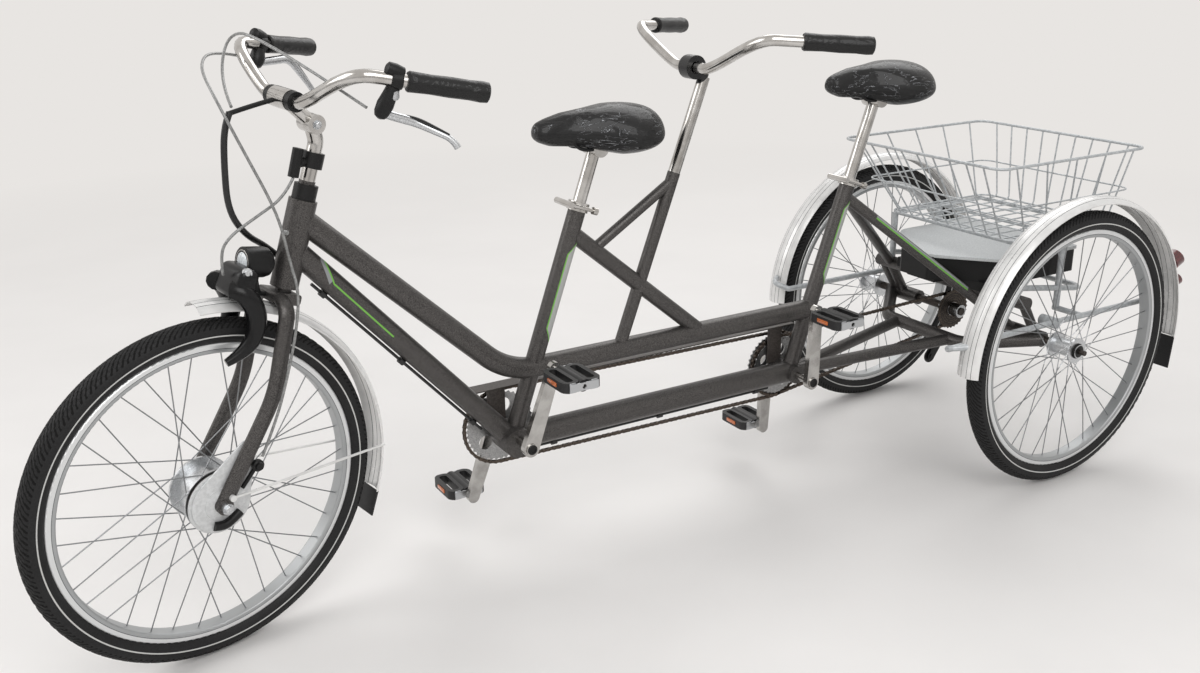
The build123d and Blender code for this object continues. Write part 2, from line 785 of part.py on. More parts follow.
# The brake plate closes the left side of the hub and is held by an arm on the fork.
plate_inner_y = front_hub_half + 4.0
with BuildPart() as hub_brake:
    with BuildSketch(wheel_plane(front_hub, 0)) as plate_section:
        Polygon(
            (plate_inner_y, axle_radius),
            (plate_inner_y, 50),
            (plate_inner_y + 4, 50),
            (fork_blade_y - 10, 28),
            (fork_blade_y - 10, axle_radius),
            align=None,
        )
    revolve(plate_section.sketch, Axis(front_hub, (0, -1, 0)), 360)
    with BuildSketch(Plane.XZ.offset(-plate_inner_y - 4)) as pear:
        for pear_point, pear_radius in ((front_hub, 50.0), (from_hub(-6, 86), 15.0)):
            with Locations((pear_point.X, pear_point.Z)):
                Circle(pear_radius)
        make_hull()
        with Locations((front_hub.X, front_hub.Z)):
            Circle(axle_radius, mode=Mode.SUBTRACT)
    extrude(pear.sketch, amount=4)
    arm_y = plate_inner_y + 4.5
    clamp = from_hub(-68, 50, arm_y)
    for arm_start, arm_finish in (
        (from_hub(-26, 16, arm_y), clamp),
        (from_hub(6, 26, arm_y), from_hub(-8, 118, arm_y)),
    ):
        with BuildSketch(Plane.XZ.offset(2.5 - arm_y)) as arm:
            for arm_point, arm_radius in ((arm_start, 9.0), (arm_finish, 6.0)):
                with Locations((arm_point.X, arm_point.Z)):
                    Circle(arm_radius)
            make_hull()
        extrude(arm.sketch, amount=-5)
    barrel(clamp + Vector(0, 8.75, 0), 4.5, 17.5)

steer(hub_brake)
save("hub_brake", hub_brake)


def mudguard_shell(hub, start, finish):
    """A curved strip round the hub between two angles."""
    half = mudguard_width / 2
    inner = mudguard_radius - mudguard_thickness
    with BuildSketch(wheel_plane(hub, start)) as shell_section:
        with BuildLine():
            outer_edge = mudguard_radius - mudguard_rise
            inner_edge = inner - mudguard_rise
            ThreePointArc((-half, outer_edge), (0, mudguard_radius), (half, outer_edge))
            Line((half, outer_edge), (half - 1, inner_edge))
            ThreePointArc((half - 1, inner_edge), (0, inner), (1 - half, inner_edge))
            Line((1 - half, inner_edge), (-half, outer_edge))
        make_face()
    revolve(shell_section.sketch, Axis(hub, (0, -1, 0)), finish - start)


with BuildPart() as front_mudguard:
    mudguard_shell(front_hub, 91, 198)
    for side in (-1, 1):
        eye = front_hub + Vector(-13, side * (fork_blade_y + 13), 15)
        tube((eye, from_hub(10 - mudguard_radius, -8, side * (mudguard_width / 2 - 0.5))), 5.0)
        barrel(eye, 6.0, 6.0)

steer(front_mudguard)
save("front_mudguard", front_mudguard)


def guard_middle(side):
    """The middle of the rear mudguard's curve, a little behind the axle."""
    return on_axle(side * mudguard_y) - Vector(mudguard_back, 0, 0)


for side_name, side in (("left", 1), ("right", -1)):
    with BuildPart() as rear_mudguard:
        mudguard_shell(guard_middle(side), 0, 185)
    save(f"rear_mudguard_{side_name}", rear_mudguard)

# Steered top end: nut, stem, handlebar, grips and levers.
stem_rise = 131.0
stem_pivot = from_head(stem_rise, 18)
stem_knee = from_head(98, 0)
stem_diameter = 27.0
bar_middle = from_head(178, 81)
front_bar = (
    from_head(209, -119, 276),
    from_head(246, 90, 190),
    bar_middle + Vector(0, 62, 0),
    bar_middle + Vector(0, -62, 0),
    from_head(246, 90, -190),
    from_head(209, -119, -276),
)
with BuildPart() as headset_nut:
    tube((on_steering_axis(head_top_z + clear_gap), on_steering_axis(head_top_z + 26)), 42.0)
    tube((head_bottom, head_top + (head_top - head_bottom)), 2 * steerer_radius, mode=Mode.SUBTRACT)

steer(headset_nut)
save("headset_nut", headset_nut)

with BuildPart() as stem:
    tube((on_steering_axis(steerer_top_z), stem_knee, stem_pivot), stem_diameter, 30.0)
    barrel(stem_pivot, 17.0, 40.0)
    tube((stem_pivot, bar_middle), 24.0)
    barrel(bar_middle, 18.0, 52.0)
    barrel(bar_middle, bar_middle_diameter / 2, bar_middle_width, mode=Mode.SUBTRACT)

steer(stem)
save("stem", stem)

with BuildPart() as front_handlebar:
    tube(front_bar, bar_diameter, 45.0)
    barrel(bar_middle, bar_middle_diameter / 2, bar_middle_width)

steer(front_handlebar)
save("front_handlebar", front_handlebar)

with BuildPart() as bar_clamps:
    for side in (-1, 1):
        barrel(bar_middle + Vector(0, side * 34, 0), 17.0, 14.0)
    barrel(bar_middle, bar_middle_diameter / 2, bar_middle_width, mode=Mode.SUBTRACT)
    tube(front_bar, bar_diameter, 45.0, mode=Mode.SUBTRACT)

steer(bar_clamps)
save("bar_clamps", bar_clamps)

# A clamp round the stem carries the block of the locking lever.
with BuildPart() as stem_clamp:
    tube((from_head(54, 0), from_head(80, 0)), 40.0)
    tube((from_head(67, 0), from_head(67, 38, 10)), 16.0)
    tube((from_head(46, 38, 12), from_head(94, 40, 12)), 19.0)
    tube((head_bottom, from_head(80, 0)), stem_diameter, mode=Mode.SUBTRACT)

steer(stem_clamp)
save("stem_clamp", stem_clamp)

with BuildPart() as front_grips:
    grips(front_bar, grip_length)

steer(front_grips)
save("front_grips", front_grips)

# Brake levers: a clamp on the bar, a block below it and a blade under the grip.
lever_sides = (
    # side, blade root, blade bend, blade tip
    (1, from_head(182, 26, 205), from_head(163, -34, 220), from_head(132, -97, 262)),
    (-1, from_head(202, 26, -207), from_head(200, -52, -228), from_head(122, -142, -246)),
)
with BuildPart() as brake_levers:
    for side, root, bend, tip in lever_sides:
        along = (front_bar[1] - front_bar[0]).normalized()
        on_bar = front_bar[0] + along * (grip_length + 18)
        lever_middle = Vector(on_bar.X, side * on_bar.Y, on_bar.Z)
        lever_along = Vector(along.X, side * along.Y, along.Z)
        tube((lever_middle - lever_along * 9, lever_middle + lever_along * 9), 30.0)
        tube((lever_middle, root), 22.0)
        tube((root, bend, tip), 11.0, 40.0)
        with Locations(root):
            Sphere(13)
        with Locations(tip):
            Sphere(7.5)
        tube((lever_middle + Vector(0, 0, 8), lever_middle + Vector(0, side * 8, 30)), 26.0)
    tube(front_bar, bar_diameter, 45.0, mode=Mode.SUBTRACT)

steer(brake_levers)
save("brake_levers", brake_levers)

# Headlamp: a short drum on a foot that stands on the crown.
lamp_back = from_crown(68, 57)
lamp_front = from_crown(74, 92)
with BuildPart() as headlamp:
    tube((lamp_back, lamp_front), 52.0)
    tube((from_crown(7, 28), from_crown(13, 50), from_crown(54, 67)), 9.0, 9.0)
    tube((lamp_back, lamp_back + Vector(-8, 0, -2)), 34.0)
    add(fork_ahead, mode=Mode.SUBTRACT)

steer(headlamp)
save("headlamp", headlamp)

# Rear load carrier: legs from the axle tubes, a hoop under the basket and long mudguard stays.
basket_floor_z = 564.0
basket_wire = 5.0
rack_rod = 8.0
rack_z = basket_floor_z - basket_wire / 2 - rack_rod / 2 - 1.5
rack_back_x = -250.0
rear_leg_x = -100.0
carrier_y = axle_bracket_y - 52.0
stay_y = half_track - 53.0
stay_z = tyre_radius + 48.5
hoop_z = 410.0
with BuildPart() as carrier:
    for side in (-1, 1):
        leg_y = side * carrier_y
        tube((place(upper_cross_x, upper_cross_z, leg_y), place(upper_cross_x, rack_z, leg_y)), 16.0)
        tube((place(rear_leg_x, stay_z, leg_y), place(rear_leg_x, rack_z, leg_y)), 16.0)
        tube(
            (
                place(mudguard_radius - 24, stay_z + 20, side * mudguard_y),
                place(mudguard_radius + 14, stay_z + 15, side * (mudguard_y - 30)),
                place(mudguard_radius - 15, stay_z, side * stay_y),
                place(30 - mudguard_radius, stay_z, side * stay_y),
                place(-12 - mudguard_radius, stay_z, side * (mudguard_y - 27)),
                place(10 - mudguard_radius, stay_z, side * mudguard_y),
            ),
            14.0,
            12.0,
        )
        barrel(guard_middle(side), mudguard_radius, mudguard_width, mode=Mode.SUBTRACT)
        tube((place(0, stay_z, side * (axle_bracket_y - 11)), place(0, stay_z, side * (stay_y + 10))), 26.0)
        stay_link = (
            place(rear_leg_x, stay_z, side * (carrier_y - 6)),
            place(rear_leg_x, stay_z, side * stay_y),
        )
        tube(stay_link, 14.0)
        tube((place(upper_cross_x, rack_z, leg_y), place(rack_back_x, rack_z, leg_y)), 10.0)
    tube(
        (
            place(upper_cross_x, hoop_z + 40, -carrier_y),
            place(-200, hoop_z, -carrier_y),
            place(-200, hoop_z, carrier_y),
            place(upper_cross_x, hoop_z + 40, carrier_y),
        ),
        14.0,
        45.0,
    )
    for x in (upper_cross_x, rear_leg_x, rack_back_x):
        tube((place(x, rack_z, -carrier_y), place(x, rack_z, carrier_y)), 8.0)
    add(frame_rear.part, mode=Mode.SUBTRACT)

save("carrier", carrier)

# Axle cover: a shallow tray over the sprockets with a narrow tongue ahead of it.
cover_floor_z = 452.0
cover_height = 56.0
cover_half = 176.0
with BuildPart() as axle_cover:
    with BuildSketch(Plane.XY.offset(cover_floor_z)):
        Polygon(
            (rear_axle_x - 185, -cover_half),
            (rear_axle_x + 20, -cover_half),
            (rear_axle_x + 180, -52),
            (rear_axle_x + 180, 40),
            (rear_axle_x + 20, cover_half),
            (rear_axle_x - 185, cover_half),
            align=None,
        )
    extrude(amount=cover_height)
    fillet(axle_cover.edges().filter_by(Axis.Z), 14)
    offset(amount=-3, openings=axle_cover.faces().sort_by(Axis.Z)[-1])
    tube((stay_top, on_axle(left_stay_foot_y)), seatstay_diameter + 2, mode=Mode.SUBTRACT)
    tube((stay_top, right_stay_knee, on_axle(right_stay_y)), seatstay_diameter + 2, 40.0, Mode.SUBTRACT)

save("axle_cover", axle_cover)

# A dark shelf carries the cover on the upper cross tube and shows below its front edge.
with BuildPart() as cover_underside:
    with Locations(place(upper_cross_x, cover_floor_z - 12)):
        Box(60, 300, 24)
    with Locations(place(upper_cross_x + 60, cover_floor_z - 5)):
        Box(80, 90, 10)
    add(frame_rear.part, mode=Mode.SUBTRACT)

save("cover_underside", cover_underside)

# Wire basket: upright U wires in both directions, tied by three rings.
wire_diameter = 4.0
basket_rings = (
    # height, front, back, half width, wire diameter
    (756.0, 207.0, -295.0, 254.0, 7.0),
    (653.0, 140.0, -290.0, 229.0, 4.0),
    (basket_floor_z, 78.0, -276.0, 203.0, basket_wire),
)
rim_height, rim_front, rim_back, rim_half = basket_rings[0][:4]
floor_height, floor_front, floor_back, floor_half = basket_rings[2][:4]
with BuildPart() as basket:
    for height, front, back, half, diameter in basket_rings:
        with BuildLine(Plane.XY.offset(height)) as ring:
            FilletPolyline(
                (rear_axle_x + front, -half),
                (rear_axle_x + back, -half),
                (rear_axle_x + back, half),
                (rear_axle_x + front, half),
                radius=30,
                close=True,
            )
        with BuildSketch(Plane(origin=ring.line @ 0, z_dir=ring.line % 0)) as ring_section:
            Circle(diameter / 2)
        sweep(ring_section.sketch, path=ring.line)
    for share in (-0.8, -0.6, -0.4, -0.2, 0.0, 0.2, 0.4, 0.6, 0.8):
        tube(
            (
                place(rim_front, rim_height, share * rim_half),
                place(floor_front, floor_height, share * floor_half),
                place(floor_back, floor_height, share * floor_half),
                place(rim_back, rim_height, share * rim_half),
            ),
            wire_diameter,
            14.0,
        )
    for share in (0.1, 0.3, 0.5, 0.7, 0.9):
        top_x = rim_back + share * (rim_front - rim_back)
        floor_x = floor_back + share * (floor_front - floor_back)
        tube(
            (
                place(top_x, rim_height, -rim_half),
                place(floor_x, floor_height, -floor_half),
                place(floor_x, floor_height, floor_half),
                place(top_x, rim_height, rim_half),
            ),
            wire_diameter,
            14.0,
        )

save("basket", basket)

# Cable wrap: the bundle from the front handlebar round to the frame.
wrap_points = (
    steered(from_head(170, 96.5)),
    steered(from_head(167, 180)),
    steered(from_head(54, 149)),
    from_head(-50, 82, -30),
    from_head(-86, 22, -36),
    from_head(-112, 0, -head_tube_diameter / 2 - 6.2),
)
with BuildPart() as cable_wrap:
    tube(wrap_points, 12.0, 22.0)

save("cable_wrap", cable_wrap)

# Chain guard: a flat strip over the upper run, on a plate at each crank shell.
guard_z = 383.0
guard_front_x = 1365.0
guard_back_x = 530.0
guard_plate_y = shell_width / 2 + 1.25
with BuildPart() as chain_guard:
    with Locations(place((guard_front_x + guard_back_x) / 2, guard_z, -48.5)):
        Box(guard_front_x - guard_back_x, 37, 2.5)
    for shell in (front_shell, rear_shell):
        with Locations(Vector(shell.X + 16, -guard_plate_y, (shell.Z + 20 + guard_z) / 2)):
            Box(40, 2.5, guard_z - shell.Z - 20)
        with Locations(Vector(shell.X + 16, -guard_plate_y, shell.Z + 20)):
            Box(40, 2.5, 12)
    barrel(front_crank, spindle_radius + 5, 2 * shell_width, mode=Mode.SUBTRACT)
    barrel(rear_crank, spindle_radius + 5, 2 * shell_width, mode=Mode.SUBTRACT)

save("chain_guard", chain_guard)

# Derailleur: a hanger on the cross tube, a body and a cage with two pulleys.
pulley_upper = place(26, 252, drive_y)
pulley_lower = place(58, 206, drive_y)
with BuildPart() as derailleur:
    tube((place(136, 305, -24), place(60, 268, -24), place(26, 252, -28)), 12.0, 20.0)
    for pulley in (pulley_upper, pulley_lower):
        barrel(pulley, 18.0, 3.0)
        barrel(pulley, 6.0, 18.0)
    for side in (-1, 1):
        with BuildSketch(Plane.XZ.offset(-(drive_y + side * 6) + 1)) as cage:
            for pulley in (pulley_upper, pulley_lower):
                with Locations((pulley.X, pulley.Z)):
                    Circle(11)
            make_hull()
        extrude(cage.sketch, amount=-2)
    barrel(place(26, 252, -30), 14.0, 14.0)
    tube((mirrored(cross_end), cross_end), cross_tube_diameter, mode=Mode.SUBTRACT)

save("derailleur", derailleur)


def flap(hub, angle, length):
    """A soft flap that carries on from the end of a mudguard."""
    with BuildSketch(wheel_plane(hub, angle)) as flap_section:
        with Locations((0, mudguard_radius - 10)):
            Rectangle(mudguard_width - 8, 3)
    extrude(flap_section.sketch, amount=-length)


with BuildPart() as front_mudflap:
    flap(front_hub, 198, 52)

steer(front_mudflap)
save("front_mudflap", front_mudflap)

with BuildPart() as rear_mudflaps:
    for side in (-1, 1):
        flap(guard_middle(side), 185, 80)

save("rear_mudflaps", rear_mudflaps)

# Rear lamps: two round lamps on the left mudguard.
lamp_rows = (
    # angle, radius, height above the mudguard
    (154, 22.0, 26.0),
    (163, 15.0, 20.0),
)
with BuildPart() as rear_lamps:
    for angle, radius, height in lamp_rows:
        outward = Vector(cos(radians(angle)), 0, sin(radians(angle)))
        mudguard_middle = guard_middle(1)
        tube(
            (
                mudguard_middle + outward * (mudguard_radius - 6),
                mudguard_middle + outward * (mudguard_radius + height),
            ),
            2 * radius,
        )
    barrel(guard_middle(1), mudguard_radius, 2 * mudguard_width, mode=Mode.SUBTRACT)

save("rear_lamps", rear_lamps)

# Ring lock: a box over the front mudguard with an arm down each side of the tyre.
with BuildPart() as ring_lock:
    with Locations(from_hub(-78, mudguard_radius + 6)):
        Box(28, 102, 24)
    with Locations(from_hub(-66, mudguard_radius + 14)):
        Box(44, 64, 36)
    fillet(ring_lock.edges().filter_by(Axis.X).group_by(Axis.Z)[-1], 10)
    for side in (-1, 1):
        tube(
            (
                from_hub(-80, mudguard_radius + 8, side * 45),
                from_hub(-76, rim_radius + 4, side * 45),
                from_hub(-32, rim_radius - 22, side * 45),
            ),
            14.0,
            24.0,
        )
    barrel(front_hub, mudguard_radius, mudguard_width + 8, mode=Mode.SUBTRACT)

steer(ring_lock)
save("ring_lock", ring_lock)

# Brake cable: from the right lever round the front of the head tube, then down beside the
# left fork blade to the hub.
cable_radius = 2.5
cable_y = fork_blade_y + 15.0
with BuildPart() as brake_cable:
    tube(
        (
            from_head(212, 44, -206),
            from_head(236, 130, -188),
            from_head(226, 190, -110),
            from_head(190, 206, 0),
            from_head(106, 150, 24),
            from_head(-9, 64, 34),
            from_head(-93, 26, 42),
            from_crown(30, 19, cable_y - 6),
            from_crown(-41, 4, cable_y),
            from_hub(-130, 196, cable_y),
            from_hub(-78, 74, cable_y),
            from_hub(-70, 48, cable_y - 9),
        ),
        2 * cable_radius,
        18.0,
    )

steer(brake_cable)
save("brake_cable", brake_cable)

# Lever cable: from the left lever across the handlebar and back to the cable wrap.
with BuildPart() as lever_cable:
    tube(
        (
            from_head(190, 46, 190),
            from_head(282, 134, -48),
            from_head(262, 118, -168),
            from_head(196, 140, -120),
            from_head(172, 168, -13),
        ),
        2 * cable_radius,
        22.0,
    )

steer(lever_cable)
save("lever_cable", lever_cable)

# Hoses clipped under the down tube and under the long lower tube.
hose_radius = 3.0
hose_gap = 2.0
clip_radius = 6.5
hose_run = (down_tube_foot - down_tube_head).normalized()
hose_side = Vector(-hose_run.Z, 0, hose_run.X)
down_drop = hose_side * (down_tube_diameter / 2 + hose_gap + hose_radius)
lower_drop = Vector(0, 0, -lower_tube_diameter / 2 - hose_gap - hose_radius)
hose_lines = (
    # start, end
    (down_tube_head + hose_run * 70 + down_drop, down_tube_foot - hose_run * 60 + down_drop),
    (front_shell + Vector(-60, 0, 0) + lower_drop, rear_shell + Vector(60, 0, 0) + lower_drop),
)
with BuildPart() as tube_hoses:
    for start, end in hose_lines:
        tube((start, end), 2 * hose_radius)
        step = (end - start).normalized() * 6
        for share in (0.06, 0.5, 0.94):
            clip = start + (end - start) * share
            tube((clip - step, clip + step), 2 * clip_radius)
    add(frame_front.part, mode=Mode.SUBTRACT)
    add(frame_middle.part, mode=Mode.SUBTRACT)

save("tube_hoses", tube_hoses)
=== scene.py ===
import json
import math

import bmesh
import bpy
from mathutils import Matrix, Vector


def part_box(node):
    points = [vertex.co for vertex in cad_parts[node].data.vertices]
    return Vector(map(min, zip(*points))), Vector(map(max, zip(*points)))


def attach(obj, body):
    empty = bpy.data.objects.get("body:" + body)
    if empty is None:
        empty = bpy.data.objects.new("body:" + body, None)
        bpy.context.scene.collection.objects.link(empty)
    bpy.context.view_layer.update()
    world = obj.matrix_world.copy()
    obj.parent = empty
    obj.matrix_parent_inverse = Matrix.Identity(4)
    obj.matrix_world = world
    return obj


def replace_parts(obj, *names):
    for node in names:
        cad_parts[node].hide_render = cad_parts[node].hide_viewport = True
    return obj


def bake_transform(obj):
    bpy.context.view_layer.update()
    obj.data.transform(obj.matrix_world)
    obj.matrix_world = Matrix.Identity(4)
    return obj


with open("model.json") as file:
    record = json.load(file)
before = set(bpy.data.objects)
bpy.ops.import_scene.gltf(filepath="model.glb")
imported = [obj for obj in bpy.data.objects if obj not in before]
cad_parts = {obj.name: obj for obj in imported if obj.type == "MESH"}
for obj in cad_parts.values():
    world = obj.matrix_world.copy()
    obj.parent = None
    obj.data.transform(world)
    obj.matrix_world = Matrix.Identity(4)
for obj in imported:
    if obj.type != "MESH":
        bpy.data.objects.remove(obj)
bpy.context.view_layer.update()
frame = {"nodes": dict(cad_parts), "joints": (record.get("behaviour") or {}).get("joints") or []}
nodes = frame["nodes"]

# Camera: at the height of a standing person, ahead and to the left of the front wheel.
# The lens and the place were worked out from the wheels and the tubes in the photograph.
bpy.ops.object.camera_add(
    location=(1.3489, 2.0022, 1.2685),
    rotation=(math.radians(70.883), math.radians(0.628), math.radians(149.149)),
)
camera = bpy.context.object
camera.data.sensor_width = 36.0
camera.data.lens = 35.49
camera.data.clip_end = 60.0
bpy.context.scene.camera = camera
bpy.context.scene.view_settings.view_transform = "Standard"


# Floor and light: a pale painted floor under three soft lamps. Away from the tricycle the
# floor fades into the background, which has its shade and shows in the metal as well.
def linear(code):
    """An sRGB hex colour as linear values with full cover."""
    parts = [int(code[i : i + 2], 16) / 255 for i in (0, 2, 4)]
    return [c / 12.92 if c <= 0.04045 else ((c + 0.055) / 1.055) ** 2.4 for c in parts] + [1.0]


def add(tree, kind, inputs=(), into=None, **settings):
    """One shader node with its settings, its values, its links and where it leads."""
    made = tree.nodes.new(kind)
    for name, value in settings.items():
        setattr(made, name, value)
    for socket, value in dict(inputs).items():
        if isinstance(value, bpy.types.NodeSocket):
            tree.links.new(value, made.inputs[socket])
        else:
            made.inputs[socket].default_value = value
    if into:
        tree.links.new(made.outputs[0], into)
    return made


def new_finish(name, first, second, grain, roughness, metallic=0.0, relief=0.0):
    """A material whose colour and gloss wander between two shades, by a grain in millimetres."""
    finish = bpy.data.materials.new(name)
    finish.use_nodes = True
    tree = finish.node_tree
    shader = tree.nodes["Principled BSDF"]
    place = add(tree, "ShaderNodeTexCoord").outputs["Object"]
    pattern = {"Vector": place, "Scale": 1000.0 / grain, "Detail": 3.0}
    noise = add(tree, "ShaderNodeTexNoise", pattern).outputs["Fac"]
    shades = add(tree, "ShaderNodeValToRGB", {"Fac": noise}, shader.inputs["Base Color"])
    ramp = shades.color_ramp.elements
    ramp[0].position, ramp[0].color = 0.36, linear(first)
    ramp[1].position, ramp[1].color = 0.64, linear(second)
    smear = 90.0  # millimetres from one patch of handling to the next
    pattern = {"Vector": place, "Scale": 1000.0 / smear, "Detail": 4.0}
    smears = add(tree, "ShaderNodeTexNoise", pattern).outputs["Fac"]
    span = {"Value": smears, "From Min": 0.3, "From Max": 0.7}
    span["To Min"] = max(0.03, roughness - 0.05)
    span["To Max"] = min(1.0, roughness + 0.07)
    add(tree, "ShaderNodeMapRange", span, shader.inputs["Roughness"])
    shader.inputs["Metallic"].default_value = metallic
    if relief:
        grain_height = {"Height": noise, "Distance": relief / 1000.0}
        add(tree, "ShaderNodeBump", grain_height, shader.inputs["Normal"])
    return finish, tree, shader


room_shade = linear("e8e5e2")
floor_paint, tree, shader = new_finish("pale_floor_paint", "e7e4e1", "eae7e4", 400.0, 0.55)
where = add(tree, "ShaderNodeTexCoord")
distance = add(tree, "ShaderNodeVectorMath", {0: where.outputs["Object"]}, operation="LENGTH")
fade = {"Value": distance.outputs["Value"], "From Min": 1.3, "From Max": 5.0}
far = add(tree, "ShaderNodeMapRange", fade).outputs[0]
seen = add(tree, "ShaderNodeLightPath").outputs["Is Camera Ray"]
plain = add(tree, "ShaderNodeMath", {0: far, 1: seen}, operation="MULTIPLY").outputs[0]
paper = add(tree, "ShaderNodeEmission", {"Color": room_shade, "Strength": 1.0}).outputs[0]
floor_end = tree.nodes["Material Output"].inputs["Surface"]
add(tree, "ShaderNodeMixShader", {0: plain, 1: shader.outputs[0], 2: paper}, floor_end)
bpy.ops.mesh.primitive_plane_add(size=60, location=(0, 0, -0.001))
floor = bpy.context.object
floor.name = "floor"
floor.data.materials.append(floor_paint)

for lamp_name, place, size, power in (
    ("lamp_left", (1.2, 3.6, 3.6), 3.0, 95),
    ("lamp_front", (4.2, -1.5, 3.2), 3.0, 70),
    ("lamp_back", (-2.6, -2.2, 4.0), 3.5, 80),
):
    bpy.ops.object.light_add(type="AREA", location=place)
    lamp = bpy.context.object
    lamp.name = lamp_name
    lamp.data.size = size
    lamp.data.energy = power
    aim = Vector((0, 0, 0.4)) - Vector(place)
    lamp.rotation_euler = aim.to_track_quat("-Z", "Y").to_euler()

world = bpy.data.worlds.new("pale_room")
bpy.context.scene.world = world
world.use_nodes = True
sky = world.node_tree
sky.nodes.clear()
rays = add(sky, "ShaderNodeLightPath").outputs
seen = rays["Is Camera Ray"]
for ray in ("Is Glossy Ray", "Is Transmission Ray"):
    seen = add(sky, "ShaderNodeMath", {0: seen, 1: rays[ray]}, operation="MAXIMUM").outputs[0]
room_light = add(sky, "ShaderNodeBackground", {"Color": linear("f4f5f7"), "Strength": 0.62})
room_seen = add(sky, "ShaderNodeBackground", {"Color": room_shade, "Strength": 1.0})
sky_end = add(sky, "ShaderNodeOutputWorld").inputs["Surface"]
mixed = {0: seen, 1: room_light.outputs[0], 2: room_seen.outputs[0]}
add(sky, "ShaderNodeMixShader", mixed, sky_end)


# Frame: welded steel tube under a dark grey powder coat with a fine metallic sparkle. A green
# line and a grey flash run down the long front tube, both seat tubes have a light grey panel
# with a green edge on their rear half, and the left stay has a green and a grey line.
def wear(finish, *parts):
    """Give one finish to CAD nodes."""
    for part in parts:
        for place in nodes[part].material_slots:
            place.material = finish


def own_space(tree, origin, turn):
    """Object coordinates counted from an origin and along turned axes."""
    place = add(tree, "ShaderNodeTexCoord").outputs["Object"]
    laid = {"Vector": place, "Location": origin, "Rotation": turn}
    moved = add(tree, "ShaderNodeMapping", laid, vector_type="TEXTURE")
    split = add(tree, "ShaderNodeSeparateXYZ", {0: moved.outputs[0]})
    return split.outputs[0], split.outputs[1], split.outputs[2]


def between(tree, value, low, high):
    """One where a value lies between two numbers, and nought elsewhere."""
    limits = {0: value, 1: (low + high) / 2, 2: (high - low) / 2}
    return add(tree, "ShaderNodeMath", limits, operation="COMPARE").outputs[0]


def both(tree, *masks):
    """The overlap of several masks."""
    result = masks[0]
    for mask in masks[1:]:
        result = add(tree, "ShaderNodeMath", {0: result, 1: mask}, operation="MULTIPLY").outputs[0]
    return result


def painted(tree, shader, mask, colour, roughness=None, metallic=None):
    """Another finish over the first one where the mask is one."""
    for socket, value, kind, first, second, out in (
        ("Base Color", linear(colour), "RGBA", 6, 7, 2),
        ("Roughness", roughness, "FLOAT", 2, 3, 0),
        ("Metallic", metallic, "FLOAT", 2, 3, 0),
    ):
        if value is None:
            continue
        links = shader.inputs[socket].links
        under = links[0].from_socket if links else shader.inputs[socket].default_value
        layer = add(tree, "ShaderNodeMix", {0: mask, first: under, second: value}, data_type=kind)
        tree.links.new(layer.outputs[out], shader.inputs[socket])


def slanted(tree, along, across, start, finish, half):
    """A straight line of paint from one point to another, as places along and across a tube."""
    slope = (finish[1] - start[1]) / (finish[0] - start[0])
    course = {0: along, 1: -slope, 2: slope * start[0] - start[1]}
    course = add(tree, "ShaderNodeMath", course, operation="MULTIPLY_ADD").outputs[0]
    beside = add(tree, "ShaderNodeMath", {0: across, 1: course}, operation="ADD").outputs[0]
    reach = between(tree, along, start[0], finish[0])
    return both(tree, between(tree, beside, -half, half), reach)


def on_tube(tree, start, turn, half):
    """Places along and across a straight tube, and the mask that keeps paint on it."""
    along, side, across = own_space(tree, start, turn)
    near = both(tree, between(tree, across, -half, half), between(tree, side, -half, half))
    return along, across, near


powder = ("302e2d", "625f5d", 1.4, 0.36, 0.55, 0.07)
wear(new_finish("dark_grey_metallic_powder_coat", *powder)[0], "fork")
leaf_green, flash_grey, panel_grey = "6fb046", "8f9192", "a9aaa7"
line_half = 0.0016
long_tube_reach, seat_tube_reach, stay_reach = 0.023, 0.0195, 0.014

tube_foot = Vector((0.383, 0.0, 0.290))
tube_head = Vector((0.7869, 0.0, 0.7420))
front_shell = Vector((0.375, 0.0, 0.282))
rear_shell = Vector((-0.347, 0.0, 0.282))
seat_turn = (0, math.radians(70.4) - math.pi, 0)
stay_top = Vector((-0.4895, 0.0, 0.682))
stay_foot = Vector((-0.915, 0.168, 0.3265))

front_coat, tree, shader = new_finish("front_frame_coat_with_stripes", *powder)
middle_coat, middle_tree, middle_shader = new_finish("middle_frame_coat_with_stripes", *powder)
rear_coat, rear_tree, rear_shader = new_finish("rear_frame_coat_with_stripes", *powder)
wear(front_coat, "frame_front")
wear(middle_coat, "frame_middle")
wear(rear_coat, "frame_rear")

run = tube_foot - tube_head
along, across, near = on_tube(tree, tube_head, (0, math.atan2(-run.z, run.x), 0), long_tube_reach)
flash = slanted(tree, along, across, (0.048, -0.020), (0.088, 0.002), 0.0042)
painted(tree, shader, both(tree, near, flash), flash_grey, 0.4, 0.2)
for start, finish in (((0.056, -0.021), (0.094, 0.000)), ((0.094, 0.000), (0.252, 0.002))):
    line = both(tree, near, slanted(tree, along, across, start, finish, line_half))
    painted(tree, shader, line, leaf_green, 0.38, 0.0)

